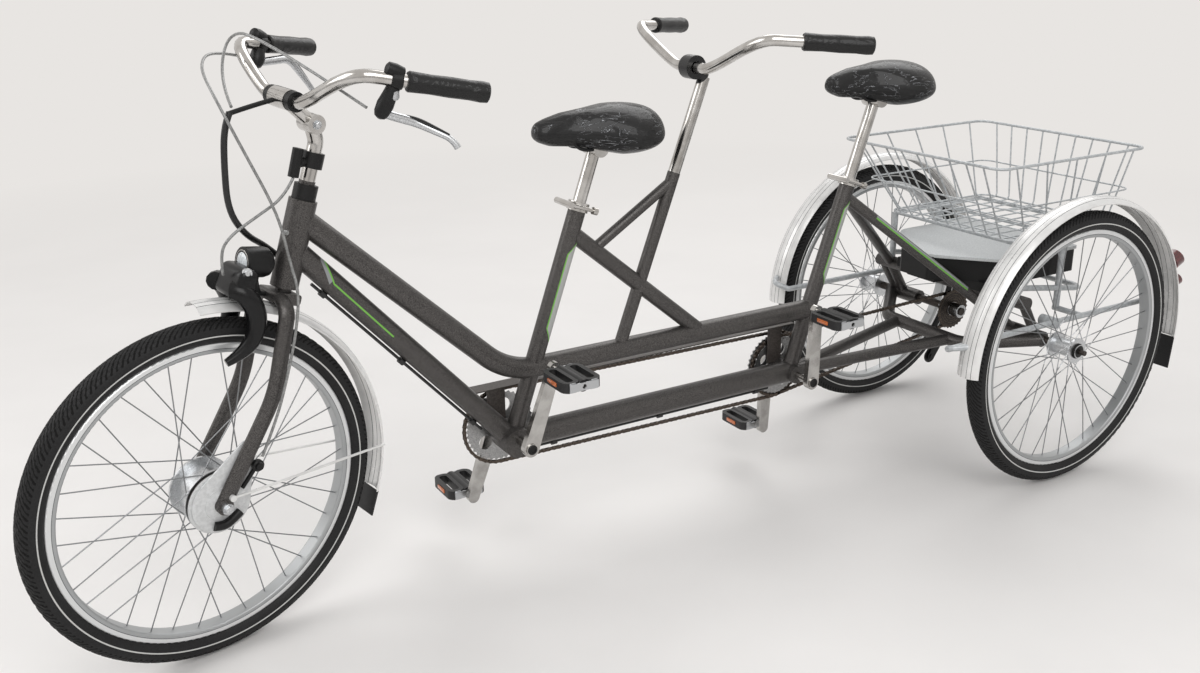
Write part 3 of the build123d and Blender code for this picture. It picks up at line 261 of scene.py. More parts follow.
panel_ends = (0.200, 0.428)
full_ends = (0.240, 0.395)
end_slope, edge_place = 0.62, -0.0025
for coat_tree, coat, shell in (
    (tree, shader, front_shell),
    (middle_tree, middle_shader, rear_shell),
):
    along, across, near = on_tube(coat_tree, shell, seat_turn, seat_tube_reach)
    lower = add(coat_tree, "ShaderNodeMath", {0: full_ends[0], 1: along}, operation="SUBTRACT")
    upper = add(coat_tree, "ShaderNodeMath", {0: along, 1: full_ends[1]}, operation="SUBTRACT")
    taper = lower.outputs[0]
    for other in (upper.outputs[0], 0.0):
        taper = add(coat_tree, "ShaderNodeMath", {0: taper, 1: other}, operation="MAXIMUM")
        taper = taper.outputs[0]
    edge = {0: taper, 1: end_slope, 2: edge_place}
    edge = add(coat_tree, "ShaderNodeMath", edge, operation="MULTIPLY_ADD").outputs[0]
    inside = add(coat_tree, "ShaderNodeMath", {0: across, 1: edge}, operation="SUBTRACT").outputs[0]
    whole = between(coat_tree, along, *panel_ends)
    panel = both(coat_tree, near, whole, between(coat_tree, inside, 0.0, 0.05))
    painted(coat_tree, coat, panel, panel_grey, 0.42, 0.0)
    trim = both(coat_tree, near, whole, between(coat_tree, inside, -0.0016, 0.0010))
    painted(coat_tree, coat, trim, leaf_green, 0.38, 0.0)

stay_turn = (stay_foot - stay_top).to_track_quat("X", "Z").to_euler()
along, across, near = on_tube(rear_tree, stay_top, stay_turn, stay_reach)
for middle, half, colour in ((0.0045, 0.0017, leaf_green), (0.0085, 0.0020, flash_grey)):
    line = slanted(rear_tree, along, across, (0.095, middle), (0.400, middle), half)
    painted(rear_tree, rear_shader, both(rear_tree, near, line), colour, 0.4, 0.0)


# Bright parts: chromed steel for the stem, bars and seat posts, brushed or polished aluminium
# for the cranks, levers and nuts, and silver paint on the cast hub brake. The chrome is
# nearly a mirror, and the aluminium is softer and greyer.
def round_axle(tree, centre, spin_axis):
    """Places ahead, along and over an axle, and the distance from its line."""
    turn = Vector((0, 1, 0)).rotation_difference(spin_axis).to_euler()
    x, y, z = own_space(tree, centre, turn)
    flat = add(tree, "ShaderNodeCombineXYZ", {0: x, 2: z})
    reach = add(tree, "ShaderNodeVectorMath", {0: flat.outputs[0]}, operation="LENGTH")
    return x, y, z, reach.outputs["Value"]


across_axle = Vector((0, 1, 0))
chrome = new_finish("chromed_steel", "b4b1ad", "cac8c5", 30.0, 0.12, 1.0)[0]
wear(chrome, "stem", "front_seatpost", "rear_seatpost")
aluminium = new_finish("brushed_aluminium", "b2b4b6", "d3d5d7", 2.0, 0.3, 1.0, 0.06)[0]
wear(aluminium, "front_axle")
polished = new_finish("polished_forged_alloy", "a7a5a2", "bebcb9", 25.0, 0.16, 1.0)[0]
wear(polished, "front_crankset", "rear_crankset")
axle_steel = new_finish("dark_oiled_axle_steel", "332e2b", "4b4541", 2.0, 0.4, 0.7)[0]
wear(axle_steel, "rear_shaft_left", "rear_shaft_right")
stem_chrome = ("chromed_stem_with_black_collar", "a8a5a1", "bfbdba", 20.0, 0.16, 1.0)
stem_steel, tree, shader = new_finish(*stem_chrome)
stoker_clamp, collar_radius = Vector((-0.061, 0.0, 0.998)), 0.036
reach = round_axle(tree, stoker_clamp, across_axle)[3]
painted(tree, shader, between(tree, reach, -0.01, collar_radius), "121213", 0.3, 0.0)
wear(stem_steel, "stoker_stem")
cast_paint = ("silver_painted_cast_alloy", "c4c5c5", "d3d4d4", 6.0, 0.34, 0.2, 0.03)
cast_alloy = new_finish(*cast_paint)[0]


# Black parts: moulded nylon for the lamp, clamps and cover tray, vinyl for the hoses and
# their wrap, and rubber for the flaps, all near black with a fine matt grain. The chain guard
# is painted brown grey, and the cable housings are grey under a clear skin.
def shine(shader, specular=0.5, coat=0.0, coat_roughness=0.03):
    """How much the surface mirrors, and the clear coat over it."""
    shader.inputs["Specular IOR Level"].default_value = specular
    shader.inputs["Coat Weight"].default_value = coat
    shader.inputs["Coat Roughness"].default_value = coat_roughness


nylon, tree, shader = new_finish("black_moulded_nylon", "0b0b0c", "171717", 1.1, 0.42, 0.0, 0.05)
shine(shader, 0.3)
wear(nylon, "headset_nut", "headlamp", "stem_clamp", "bar_clamps", "cover_underside", "derailleur")
guard_coat = ("brown_grey_guard_plate", "37322f", "4f4945", 2.5, 0.5, 0.1, 0.15)
wear(new_finish(*guard_coat)[0], "chain_guard")
wear(new_finish("black_cable_vinyl", "0e0e0f", "1a1a1b", 6.0, 0.3)[0], "tube_hoses")
grey_housing, tree, shader = new_finish("grey_cable_housing", "6c6c6b", "8d8d8b", 5.0, 0.3)
shine(shader, coat=0.6)
wrap_vinyl = new_finish("black_cable_wrap", "0d0d0e", "1b1b1c", 3.0, 0.34, 0.0, 0.3)[0]
flap_rubber = new_finish("black_flap_rubber", "101011", "1d1d1e", 2.2, 0.6, 0.0, 0.15)[0]
wear(flap_rubber, "front_mudflap", "rear_mudflaps")


# Steered parts: the fork and all that turns with it. They are drawn with the wheel straight
# ahead, and turned about the steering axis to where they stand at rest.
def joint_line(name):
    """Where a joint of the frame turns, and its axis."""
    joint = next(joint for joint in frame["joints"] if joint["name"] == name)
    return Vector(joint["pos_m"]), Vector(joint["axis"]).normalized()


axis_foot, axis = joint_line("steering")
lean = -axis.x / axis.z
turn_at_rest = Matrix.Rotation(math.radians(13.0), 3, axis)
head_top_z = 0.8260


def at_head(rise, forward, side=0.0):
    """A point of the steered parts, in millimetres over the head tube and ahead of its axis."""
    z = head_top_z + rise / 1000.0
    straight = Vector((forward / 1000.0 - z * lean, side / 1000.0, z))
    return axis_foot + turn_at_rest @ straight


# Small turned and moulded fittings: the lamp, the nuts, and the caps of cranks and hubs.
# Each is drawn out from a flat disc in steps, as on a lathe, and sits on the part it closes.
def alone(*pieces):
    """Only these pieces selected, the last one active, or none."""
    bpy.ops.object.select_all(action="DESELECT")
    for piece in pieces:
        piece.select_set(True)
        bpy.context.view_layer.objects.active = piece


def face_out():
    """In edit mode, turn all faces of the piece outwards."""
    bpy.ops.mesh.select_all(action="SELECT")
    bpy.ops.mesh.normals_make_consistent(inside=False)


def dressed(piece, finish, angle, body):
    """Give a piece its finish, smooth it up to an angle in degrees, and fix it to a body."""
    piece.data.materials.append(finish)
    bpy.ops.object.shade_smooth_by_angle(angle=math.radians(angle))
    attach(piece, body)
    return piece


def edit_all():
    """Edit mode, with the whole piece selected."""
    bpy.ops.object.mode_set(mode="EDIT")
    bpy.ops.mesh.select_all(action="SELECT")


def settle(piece, name):
    """Back in object mode: place and turn go into the mesh, and the piece gets its name."""
    bpy.ops.object.mode_set(mode="OBJECT")
    alone(piece)
    bpy.ops.object.transform_apply(location=True, rotation=True, scale=True)
    piece.name = name
    return piece


def pick(piece, test):
    """In edit mode, select the points whose place passes a test."""
    bpy.ops.mesh.select_mode(type="VERT")
    bpy.ops.mesh.select_all(action="DESELECT")
    shape = bmesh.from_edit_mesh(piece.data)
    for point in shape.verts:
        point.select = bool(test(piece.matrix_world @ point.co))
    shape.select_flush(True)
    bmesh.update_edit_mesh(piece.data)


def modified(piece, kind, **settings):
    """Add a modifier with its settings and apply it."""
    alone(piece)
    added = piece.modifiers.new(kind.lower(), kind)
    for name, value in settings.items():
        setattr(added, name, value)
    bpy.ops.object.modifier_apply(modifier=added.name)
    return piece


def turned(name, start, direction, outline, finish, body, facets=24):
    """A piece turned along a line: its outline is rows of distance and radius in millimetres."""
    direction = direction.normalized()
    alone()
    bpy.ops.mesh.primitive_circle_add(
        vertices=facets,
        radius=outline[0][1] / 1000.0,
        fill_type="NGON",
        location=start + direction * (outline[0][0] / 1000.0),
        rotation=direction.to_track_quat("Z", "Y").to_euler(),
    )
    piece = bpy.context.object
    edit_all()
    for (distance, radius), (next_distance, next_radius) in zip(outline, outline[1:]):
        step = direction * ((next_distance - distance) / 1000.0)
        bpy.ops.mesh.extrude_region_move(TRANSFORM_OT_translate={"value": step})
        share = next_radius / radius
        middle = start + direction * (next_distance / 1000.0)
        bpy.ops.transform.resize(value=(share, share, share), center_override=middle)
    face_out()
    return dressed(settle(piece, name), finish, 32, body)


def rod(name, points, radius, finish, body, thickness=None):
    """A round wire or tube bent smoothly along points, each with its share of the radius."""
    route = bpy.data.curves.new(name, "CURVE")
    route.dimensions = "3D"
    spline = route.splines.new("NURBS")
    spline.points.add(len(points) - 1)
    for place, point, share in zip(spline.points, points, thickness or [1.0] * len(points)):
        place.co = (*point, 1.0)
        place.radius = share
    spline.order_u = 3
    spline.use_endpoint_u = True
    spline.resolution_u = 6
    route.bevel_depth = radius / 1000.0
    route.bevel_resolution = 4
    route.use_fill_caps = True
    piece = bpy.data.objects.new(name, route)
    bpy.context.collection.objects.link(piece)
    alone(piece)
    bpy.ops.object.convert(target="MESH")
    piece = bpy.context.object
    piece.data.materials.clear()
    piece.data.materials.append(finish)
    bpy.ops.object.shade_smooth()
    if body:
        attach(piece, body)
    return piece


lamp_back = at_head(-96, 57)
lamp_front = at_head(-90, 92)
beam = (lamp_front - lamp_back).normalized()
lamp_glass, tree, shader = new_finish("fluted_lamp_glass", "c9cfd2", "e6eaec", 5.0, 0.08)
shine(shader, coat=1.0)
flute_width = 0.006
flutes = {"Vector": add(tree, "ShaderNodeTexCoord").outputs["Object"], "Scale": 0.314 / flute_width}
flutes = add(tree, "ShaderNodeTexWave", flutes, bands_direction="Y").outputs["Fac"]
add(tree, "ShaderNodeBump", {"Height": flutes, "Distance": 0.001}, shader.inputs["Normal"])
glass_rows = ((0.2, 19.5), (1.5, 19.0), (3.4, 16.0), (4.8, 11.0), (5.6, 6.0), (5.8, 1.0))
bezel_rows = ((-2.0, 22.4), (-1.0, 23.2), (1.6, 23.2), (2.6, 22.0), (2.6, 20.0), (0.4, 19.6))
lamp_shell = ((-18.0, 8.0), (-16.0, 18.0), (-10.0, 24.5), (-1.0, 26.8))
lamp_shell += ((34.0, 27.0), (36.0, 25.0), (36.0, 22.0))
turned("headlamp_glass", lamp_front, beam, glass_rows, lamp_glass, "steering", 40)
turned("headlamp_bezel", lamp_front, beam, bezel_rows, chrome, "steering", 40)
turned("headlamp_housing", lamp_back, beam, lamp_shell, nylon, "steering", 40)

sides = (("left", 1), ("right", -1))
front_hub, spin = joint_line("front_wheel_spin")
front_bracket = joint_line("front_crank_spin")[0]
rear_bracket = joint_line("rear_crank_spin")[0]
left_hub = joint_line("rear_left_wheel_spin")[0]
right_hub = joint_line("rear_right_wheel_spin")[0]
axle_way = turn_at_rest @ across_axle
nut_rows = (
    # name, place, direction, size
    ("front_axle_nut_left", front_hub + spin * 0.0755, spin, 8.0),
    ("front_axle_nut_right", front_hub - spin * 0.0755, -spin, 8.0),
    ("stem_pivot_nut_left", at_head(131, 18, 20), axle_way, 6.0),
    ("stem_pivot_nut_right", at_head(131, 18, -20), -axle_way, 6.0),
)
for name, place, way, size in nut_rows:
    washer = ((0.0, size + 3), (1.2, size + 3))
    rows = washer + ((1.2, size), (5.5, size), (6.6, size * 0.8), (7.4, size * 0.4))
    turned(name, place, way, rows, aluminium, "steering", 6)

crank_face, hub_face = 0.0905, 0.0145
for crank_name, bracket in (("front_crank", front_bracket), ("rear_crank", rear_bracket)):
    for side_name, side in sides:
        turned(
            f"{crank_name}_cap_{side_name}",
            bracket + across_axle * (side * crank_face),
            across_axle * side,
            ((0.0, 10.5), (1.2, 10.5), (2.4, 8.6), (2.4, 6.0), (1.2, 5.6), (1.2, 2.0)),
            nylon,
            crank_name,
        )
for (side_name, side), hub in zip(sides, (left_hub, right_hub)):
    turned(
        f"rear_hub_cap_{side_name}",
        hub + across_axle * (side * hub_face),
        across_axle * side,
        ((0.0, 18.5), (8.0, 18.0), (12.0, 16.0), (13.2, 12.0), (13.2, 7.0)),
        nylon,
        f"rear_{side_name}_wheel",
        32,
    )


# Cables: grey lined housings to the brakes and the lock, and the black wrap that gathers the
# others from the handlebar to the down tube. A strap and a small clip hold them.
hub_back = 43.0  # millimetres from the foot of the steering axis back to the hub
hub_height = 326.24


def at_hub(forward, rise, side=0.0):
    """A point of the steered parts, in millimetres ahead of the front hub and over it."""
    straight = Vector((forward - hub_back, side, hub_height + rise)) / 1000.0
    return axis_foot + turn_at_rest @ straight


def on_head_tube(height, forward, side):
    """A point of the frame, in millimetres over the floor and ahead of the head tube's axis."""
    z = height / 1000.0
    return Vector((axis_foot.x + forward / 1000.0 - z * lean, side / 1000.0, z))


brake_route = [
    at_head(212, 44, -206),
    at_head(236, 130, -188),
    at_head(226, 190, -110),
    at_head(190, 206, 0),
    at_head(106, 150, 24),
    at_head(-9, 64, 34),
    at_head(-93, 26, 42),
    at_head(-139, 10, 64),
    at_head(-203, 4, 74),
    at_head(-291, 2, 75),
    at_head(-361, 4, 74),
    at_hub(-76, 74, 66),
]
cable_radius = 2.6
brake_hose = rod("brake_hose", brake_route, cable_radius, grey_housing, "steering")
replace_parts(brake_hose, "brake_cable")
lever_route = [
    at_head(190, 46, 190),
    at_head(282, 134, -48),
    at_head(262, 118, -168),
    at_head(196, 140, -120),
    at_head(172, 168, -13),
]
lever_hose = rod("lever_hose", lever_route, cable_radius, grey_housing, "steering")
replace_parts(lever_hose, "lever_cable")
wrap_route = [
    at_head(166, 176),
    at_head(144, 181),
    at_head(81, 166),
    at_head(2, 138, -6),
    at_head(-50, 88, -16),
    on_head_tube(744, 36, -34),
    on_head_tube(714, 0, -31),
]
wrap_hose = rod("wrap_hose", wrap_route, 5.6, wrap_vinyl, None)
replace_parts(wrap_hose, "cable_wrap")
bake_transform(wrap_hose)
strap_route = [at_head(180, 60, -10), at_head(176, 112, -6), at_head(164, 178, 0)]
rod("wrap_strap", strap_route, 4.2, nylon, "steering")
lock_route = [
    at_head(46, 40, 16),
    at_head(16, 52, 20),
    at_head(-8, 96, 20),
    at_head(-34, 142, 20),
    at_head(-62, 150, 18),
    at_head(-100, 132, 12),
]
rod("lock_cable", lock_route, cable_radius, grey_housing, "steering")
clip_way = Vector((0.88, 0.46, 0.28))
clip_rows = ((0.0, 8.0), (2.0, 8.0), (3.5, 6.0), (4.0, 3.0))
clip_foot = on_head_tube(774, 19.5, 10)
turned("head_tube_clip", clip_foot, clip_way, clip_rows, grey_housing, "frame", 20)


# Handlebars: chromed steel tube, bent in wide curves from the clamp to the grips. Each grip
# is a soft sleeve with a swollen end, still wrapped in its film.
grip_film, tree, shader = new_finish("black_foam_grip_in_film", "080809", "141414", 2.0, 0.5)
shine(shader, 0.25, 0.3, 0.12)
place = add(tree, "ShaderNodeTexCoord").outputs["Object"]
creases = {"Vector": place, "Scale": 34.0, "Distortion": 2.0}
creases = add(tree, "ShaderNodeTexNoise", creases).outputs["Fac"]
creases = {"Height": creases, "Distance": 0.004, "Strength": 0.8}
add(tree, "ShaderNodeBump", creases, shader.inputs["Coat Normal"])

# Each half of a bar: the end of its grip, its bend, and where it comes up to the clamp.
front_half, front_other = (
    [at_head(209, -119, side * 276), at_head(246, 90, side * 190), at_head(178, 81, side * 62)]
    for side_name, side in sides
)
stoker_half, stoker_other = (
    [
        Vector((-0.250, side * 0.312, 1.052)),
        Vector((-0.064, side * 0.213, 1.067)),
        stoker_clamp + across_axle * (side * 0.062),
    ]
    for side_name, side in sides
)
bar_radius, clamp_half, grip_room = 11.1, 0.030, 0.150
grip_rows = ((-5.0, 13.0), (-3.0, 16.4), (8.0, 17.4), (28.0, 16.2), (60.0, 16.8))
grip_rows += ((92.0, 15.8), (118.0, 16.6), (127.0, 17.0), (130.0, 15.0), (130.0, 11.2))
for bar_name, left, right, body in (
    ("front", front_half, front_other, "steering"),
    ("stoker", stoker_half, stoker_other, "frame"),
):
    across = (left[2] - right[2]).normalized() * clamp_half
    middle = (left[2] + right[2]) / 2
    straight_left = left[0] + (left[1] - left[0]).normalized() * grip_room
    straight_right = right[0] + (right[1] - right[0]).normalized() * grip_room
    route = [left[0], straight_left, left[1], left[2], middle + across, middle - across]
    route += [right[2], right[1], straight_right, right[0]]
    bar = rod(f"{bar_name}_bar_tube", route, bar_radius, chrome, body)
    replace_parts(bar, f"{bar_name}_handlebar")
    for side_name, points in (("left", left), ("right", right)):
        grip_name = f"{bar_name}_grip_{side_name}"
        way = points[1] - points[0]
        grip = turned(grip_name, points[0], way, grip_rows, grip_film, body, 32)
        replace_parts(grip, f"{bar_name}_grips")


# Brake levers: a black nylon band and block on the bar, a silver shifter on the left one,
# and a tapering cast blade with a black inlay that curls down at its tip.
def tapered(name, points, radii, finish, body):
    """A rod whose thickness changes from point to point."""
    return rod(name, points, radii[0], finish, body, [radius / radii[0] for radius in radii])


lever_rows = (
    # side, bar, root, bend and tip as rise, forward and side
    ("left", front_half, (182, 26, 205), (163, -34, 220), (132, -97, 262)),
    ("right", front_other, (202, 26, -207), (200, -52, -228), (122, -142, -246)),
)
band_place = 0.146
upward = turn_at_rest @ Vector((0, 0, 1))
lift = upward * 0.004
for side_name, bar, *places in lever_rows:
    root, bend, tip = (at_head(*place) for place in places)
    along = (bar[1] - bar[0]).normalized()
    seat = bar[0] + along * band_place
    down = root - seat
    curl = tip - upward * 0.010
    blade = tapered(
        f"brake_blade_{side_name}",
        [root, root.lerp(bend, 0.6), bend, bend.lerp(tip, 0.5), tip.lerp(bend, 0.12), curl],
        (7.0, 8.0, 7.2, 5.8, 5.2, 6.0),
        aluminium,
        "steering",
    )
    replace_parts(blade, "brake_levers")
    inlay = [root.lerp(bend, 0.7), bend, bend.lerp(tip, 0.45), bend.lerp(tip, 0.8)]
    tapered(
        f"brake_blade_inlay_{side_name}",
        [point + lift for point in inlay],
        (4.0, 6.2, 4.8, 2.8),
        nylon,
        "steering",
    )
    turned(
        f"brake_band_{side_name}",
        seat - along * 0.009,
        along,
        ((0.0, 11.3), (0.0, 14.0), (1.5, 15.0), (16.5, 15.0), (18.0, 14.0), (18.0, 11.3)),
        nylon,
        "steering",
        32,
    )
    reach = down.length * 1000.0
    block_rows = ((9.0, 8.0), (12.0, 11.0), (0.45 * reach, 12.0), (0.75 * reach, 14.0))
    block_rows += ((reach, 12.5), (reach + 7.0, 9.0), (reach + 10.0, 3.0))
    turned(f"brake_block_{side_name}", seat, down, block_rows, nylon, "steering", 20)
    turned(
        f"brake_paddle_{side_name}",
        seat + upward * 0.010 - along * 0.012,
        along + upward * 0.25,
        ((0.0, 7.0), (2.0, 10.5), (16.0, 12.0), (28.0, 10.5), (31.0, 6.0), (32.0, 2.0)),
        nylon,
        "steering",
        20,
    )
window_top = front_half[0].lerp(front_half[1], 0.70) - upward * 0.012
window_rows = ((0.0, 8.0), (3.0, 10.0), (17.0, 10.0), (20.0, 8.0), (21.0, 4.0))
turned("shifter_window", window_top, -upward, window_rows, aluminium, "steering", 20)


# Ring lock: a moulded black housing across the front mudguard, with a thick curved arm down
# each side of the tyre and a round key on the left. Its shell is glossier than the nylon.
lock_gloss = ("glossy_black_lock_shell", "080809", "121213", 4.0, 0.25, 0.0, 0.04)
lock_shell, tree, shader = new_finish(*lock_gloss)
shine(shader, 0.3)
alone()
bpy.ops.mesh.primitive_cube_add(size=1.0, location=(0, 0, 0))
housing = bpy.context.object
edit_all()
bpy.ops.transform.resize(value=(0.044, 0.080, 0.056), center_override=(0, 0, 0))
bpy.ops.mesh.bevel(offset=0.013, segments=5, profile=0.5)
pick(housing, lambda place: place.z > 0.006 and place.x > 0)
bpy.ops.transform.translate(value=(-0.006, 0, 0))
settle(housing, "ring_lock_housing")
stand = turn_at_rest.to_4x4() @ Matrix.Rotation(-0.25, 4, "Y")
housing.matrix_world = Matrix.Translation(at_hub(-84, 384, 12)) @ stand
settle(housing, "ring_lock_housing")
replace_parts(dressed(housing, lock_shell, 40, "steering"), "ring_lock")
for side_name, side in sides:
    tapered(
        f"ring_lock_arm_{side_name}",
        [
            at_hub(-66, 376, side * 30),
            at_hub(-78, 376, side * 44),
            at_hub(-98, 340, side * 47),
            at_hub(-96, 300, side * 46),
            at_hub(-74, 268, side * 44),
            at_hub(-38, 254, side * 40),
        ],
        (17.0, 18.0, 18.0, 16.0, 12.5, 7.0),
        lock_shell,
        "steering",
    )
turned(
    "lock_key",
    at_hub(-88, 404, 40),
    turn_at_rest @ Vector((0.2, 0.95, 0.3)),
    ((0.0, 9.0), (8.0, 9.0), (9.0, 8.0), (9.0, 5.0), (13.0, 4.6), (14.5, 2.5)),
    aluminium,
    "steering",
    20,
)


# Hub brake: a silver painted cast plate inside the left blade, swept back to the cable
# clamp, over the polished drum. A dark ring in the gap between them is painted shade. A black
# clip sits under the axle.
def plate(name, discs, thickness, finish, body):
    """A flat plate: discs of centre and radius, joined as by a belt and drawn out together."""
    alone()
    facing = thickness.to_track_quat("Z", "Y").to_euler()
    piece = None
    for centre, radius in discs:
        bpy.ops.mesh.primitive_circle_add(
            vertices=48, radius=radius / 1000.0, fill_type="NGON", location=centre, rotation=facing
        )
        if piece is None:
            piece = bpy.context.object
            bpy.ops.object.mode_set(mode="EDIT")
    bpy.ops.mesh.select_all(action="SELECT")
    bpy.ops.mesh.extrude_region_move(TRANSFORM_OT_translate={"value": thickness})
    bpy.ops.mesh.select_all(action="SELECT")
    bpy.ops.mesh.convex_hull(use_existing_faces=False)
    bpy.ops.mesh.select_all(action="SELECT")
    bpy.ops.mesh.dissolve_limited(angle_limit=math.radians(1))
    face_out()
    settle(piece, name)
    modified(piece, "BEVEL", width=0.0008, segments=2, limit_method="ANGLE")
    return dressed(piece, finish, 35, body)


pear_discs = ((at_hub(0, 0, 46.5), 54.0), (at_hub(-56, 88, 46.5), 17.0))
pear_plate = plate("hub_brake_plate", pear_discs, axle_way * 0.004, cast_alloy, "steering")
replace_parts(pear_plate, "hub_brake")
cover_rows = ((0.0, 57.0), (2.0, 59.0), (5.0, 57.5), (5.6, 52.0))
gap_rows = ((0.0, 40.0), (0.5, 55.0), (4.5, 55.0), (5.0, 40.0))
boss_rows = ((0.0, 31.0), (1.5, 30.0), (2.5, 24.0), (4.0, 22.0), (5.0, 12.0))
clamp_rows = ((0.0, 9.0), (2.0, 11.0), (9.0, 11.0), (11.0, 8.0), (15.0, 7.0), (16.0, 3.0))
for name, place, rows, finish, body, facets in (
    ("hub_brake_cover", at_hub(0, 0, 41.5), cover_rows, cast_alloy, "steering", 48),
    # painted shade: a dark ring put in the gap between the drum and the plate
    ("hub_gap_shade_ring", at_hub(0, 0, 35.0), gap_rows, axle_steel, "front_wheel", 48),
    ("hub_brake_boss", at_hub(0, 0, 50.0), boss_rows, cast_alloy, "steering", 36),
    ("hub_brake_cable_clamp", at_hub(-70, 55, 52), clamp_rows, nylon, "steering", 20),
):
    turned(name, place, axle_way, rows, finish, body, facets)
arm_route = [at_hub(-40, 18, 51.5), at_hub(-56, 36, 53), at_hub(-70, 55, 54)]
rod("hub_brake_arm", arm_route, 4.0, nylon, "steering")
clip_route = [at_hub(18, -38, 52), at_hub(4, -42, 54), at_hub(-12, -38, 54), at_hub(-32, -26, 52)]
rod("hub_axle_clip", clip_route, 8.5, nylon, "steering")


# Wheels: hollow silver rims with a bright brake track and a satin well, stainless spokes,
# and polished hub shells. The spokes are painted darker than the rim, as painted shade for
# how thin round wire looks.
def wheel_finish(name, hub, spin_axis):
    """Metal that changes with the distance from the hub: shell, spokes, well, brake track."""
    finish, tree, shader = new_finish(name, "b9bbbd", "d6d8da", 2.4, 0.3, 1.0, 0.05)
    radius = round_axle(tree, hub, spin_axis)[3]
    for inner, outer, shade, roughness, metallic in (
        # painted shade: the spokes darker than the rim; then the satin well, a dark edge, the brake
        # track
        (0.0600, 0.2662, "8c8e90", 0.28, 1.0),
        (0.2662, 0.2740, "a9abac", 0.42, 0.7),
        (0.2740, 0.2752, "6f7173", 0.40, 0.9),
        (0.2752, 0.2865, "dcdddd", 0.30, 0.55),
    ):
        painted(tree, shader, between(tree, radius, inner, outer), shade, roughness, metallic)
    return finish


wear(wheel_finish("front_rim_and_hub_metal", front_hub, spin), "front_wheel")
rear_metal = wheel_finish("rear_rim_and_hub_metal", left_hub, across_axle)
wear(rear_metal, "rear_wheel_left", "rear_wheel_right")


# Tyres: black rubber with small raised blocks on the shoulders and a pale reflective line
# round each side. Each is a ring of quads whose tread faces are inset and lifted in rows.
tyre_middle, tyre_half, tread_steps = 0.303, 0.0227, 192
block_edge, block_lift = 0.0007, 0.0008
tread_reach, row_width = 62, 15  # degrees round the section of the tyre
grooves_round, groove_sweep, groove_depth = 190.0, 900.0, 0.0022


def tyre_finish(name, hub, spin_axis):
    """Rubber with its pale line, and grooves that sweep back from the middle, painted dark as
    shade.
    """
    finish, tree, shader = new_finish(name, "0d0d0e", "1a1a1b", 2.6, 0.6)
    shine(shader, 0.35)
    x, y, z, radius = round_axle(tree, hub, spin_axis)
    painted(tree, shader, between(tree, radius, 0.2985, 0.3009), "c4c4c1", 0.45)
    angle = add(tree, "ShaderNodeMath", {0: z, 1: x}, operation="ARCTAN2").outputs[0]
    side = add(tree, "ShaderNodeMath", {0: y}, operation="ABSOLUTE").outputs[0]
    swept = {0: side, 1: groove_sweep}
    swept = add(tree, "ShaderNodeMath", swept, operation="MULTIPLY").outputs[0]
    wave = {0: angle, 1: grooves_round, 2: swept}
    wave = add(tree, "ShaderNodeMath", wave, operation="MULTIPLY_ADD").outputs[0]
    grooves = add(tree, "ShaderNodeMath", {0: wave}, operation="SINE").outputs[0]
    tread = both(tree, between(tree, grooves, -1.1, -0.35), between(tree, radius, 0.3125, 0.34))
    cut = {"Height": tread, "Distance": groove_depth}
    add(tree, "ShaderNodeBump", cut, shader.inputs["Normal"], invert=True)
    # Painted shade: the grooves are painted near black, for the shade inside them.
    painted(tree, shader, tread, "050505", 0.9)
    return finish


def tread_tyre(name, hub, spin_axis, finish, body):
    """A tyre whose tread faces, in every other place of each row, are lifted blocks."""
    alone()
    bpy.ops.mesh.primitive_torus_add(
        major_radius=tyre_middle,
        minor_radius=tyre_half,
        major_segments=tread_steps,
        minor_segments=24,
        location=hub,
        rotation=spin_axis.to_track_quat("Z", "Y").to_euler(),
    )
    piece = bpy.context.object
    bpy.ops.object.mode_set(mode="EDIT")
    bpy.ops.mesh.select_mode(type="FACE")
    bpy.ops.mesh.select_all(action="DESELECT")
    shape = bmesh.from_edit_mesh(piece.data)
    for face in shape.faces:
        middle = face.calc_center_median()
        out = math.hypot(middle.x, middle.y) - tyre_middle
        section = math.degrees(math.atan2(abs(middle.z), out))
        turn = math.degrees(math.atan2(middle.y, middle.x)) % 360
        step = round(turn / (360 / tread_steps) - 0.5)
        row = int(section // row_width)
        face.select = section < tread_reach and (step + row) % 2 == 0
    bmesh.update_edit_mesh(piece.data)
    bpy.ops.mesh.inset(thickness=block_edge, depth=block_lift, use_individual=True)
    face_out()
    return dressed(settle(piece, name), finish, 24, body)


front_rubber = tyre_finish("front_tyre_rubber", front_hub, spin)
rear_rubber = tyre_finish("rear_tyre_rubber", left_hub, across_axle)
for tyre_name, hub, spin_axis, rubber, body in (
    ("front_tyre", front_hub, spin, front_rubber, "front_wheel"),
    ("rear_tyre_left", left_hub, across_axle, rear_rubber, "rear_left_wheel"),
    ("rear_tyre_right", right_hub, across_axle, rear_rubber, "rear_right_wheel"),
):
    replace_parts(tread_tyre(f"{tyre_name}_tread", hub, spin_axis, rubber, body), tyre_name)


# Mudguards: rolled aluminium, lacquered silver white, with pressed lines along them whose
# shade is painted as fine dark strokes. Their stays have the same lacquer.
def guard_finish(name, hub, spin_axis):
    """Glossy lacquer with two pairs of pressed lines beside the middle, painted dark as shade."""
    finish, tree, shader = new_finish(name, "dcdbd9", "e7e6e4", 25.0, 0.3, 0.2)
    shine(shader, coat=0.35, coat_roughness=0.12)
    y = round_axle(tree, hub, spin_axis)[1]
    side = add(tree, "ShaderNodeMath", {0: y}, operation="ABSOLUTE").outputs[0]
    # Painted shade: each pressed line is a thin dark stroke painted into the lacquer.
    for low, high in ((0.0066, 0.0076), (0.0164, 0.0174)):
        painted(tree, shader, between(tree, side, low, high), "3c3e40", 0.4, 0.2)
    return finish


wear(guard_finish("front_mudguard_lacquer", front_hub, spin), "front_mudguard")
for (side_name, side), hub in zip(sides, (left_hub, right_hub)):
    guard_middle = hub + across_axle * (side * 0.002)
    lacquer = guard_finish(f"{side_name}_mudguard_lacquer", guard_middle, across_axle)
    wear(lacquer, f"rear_mudguard_{side_name}")


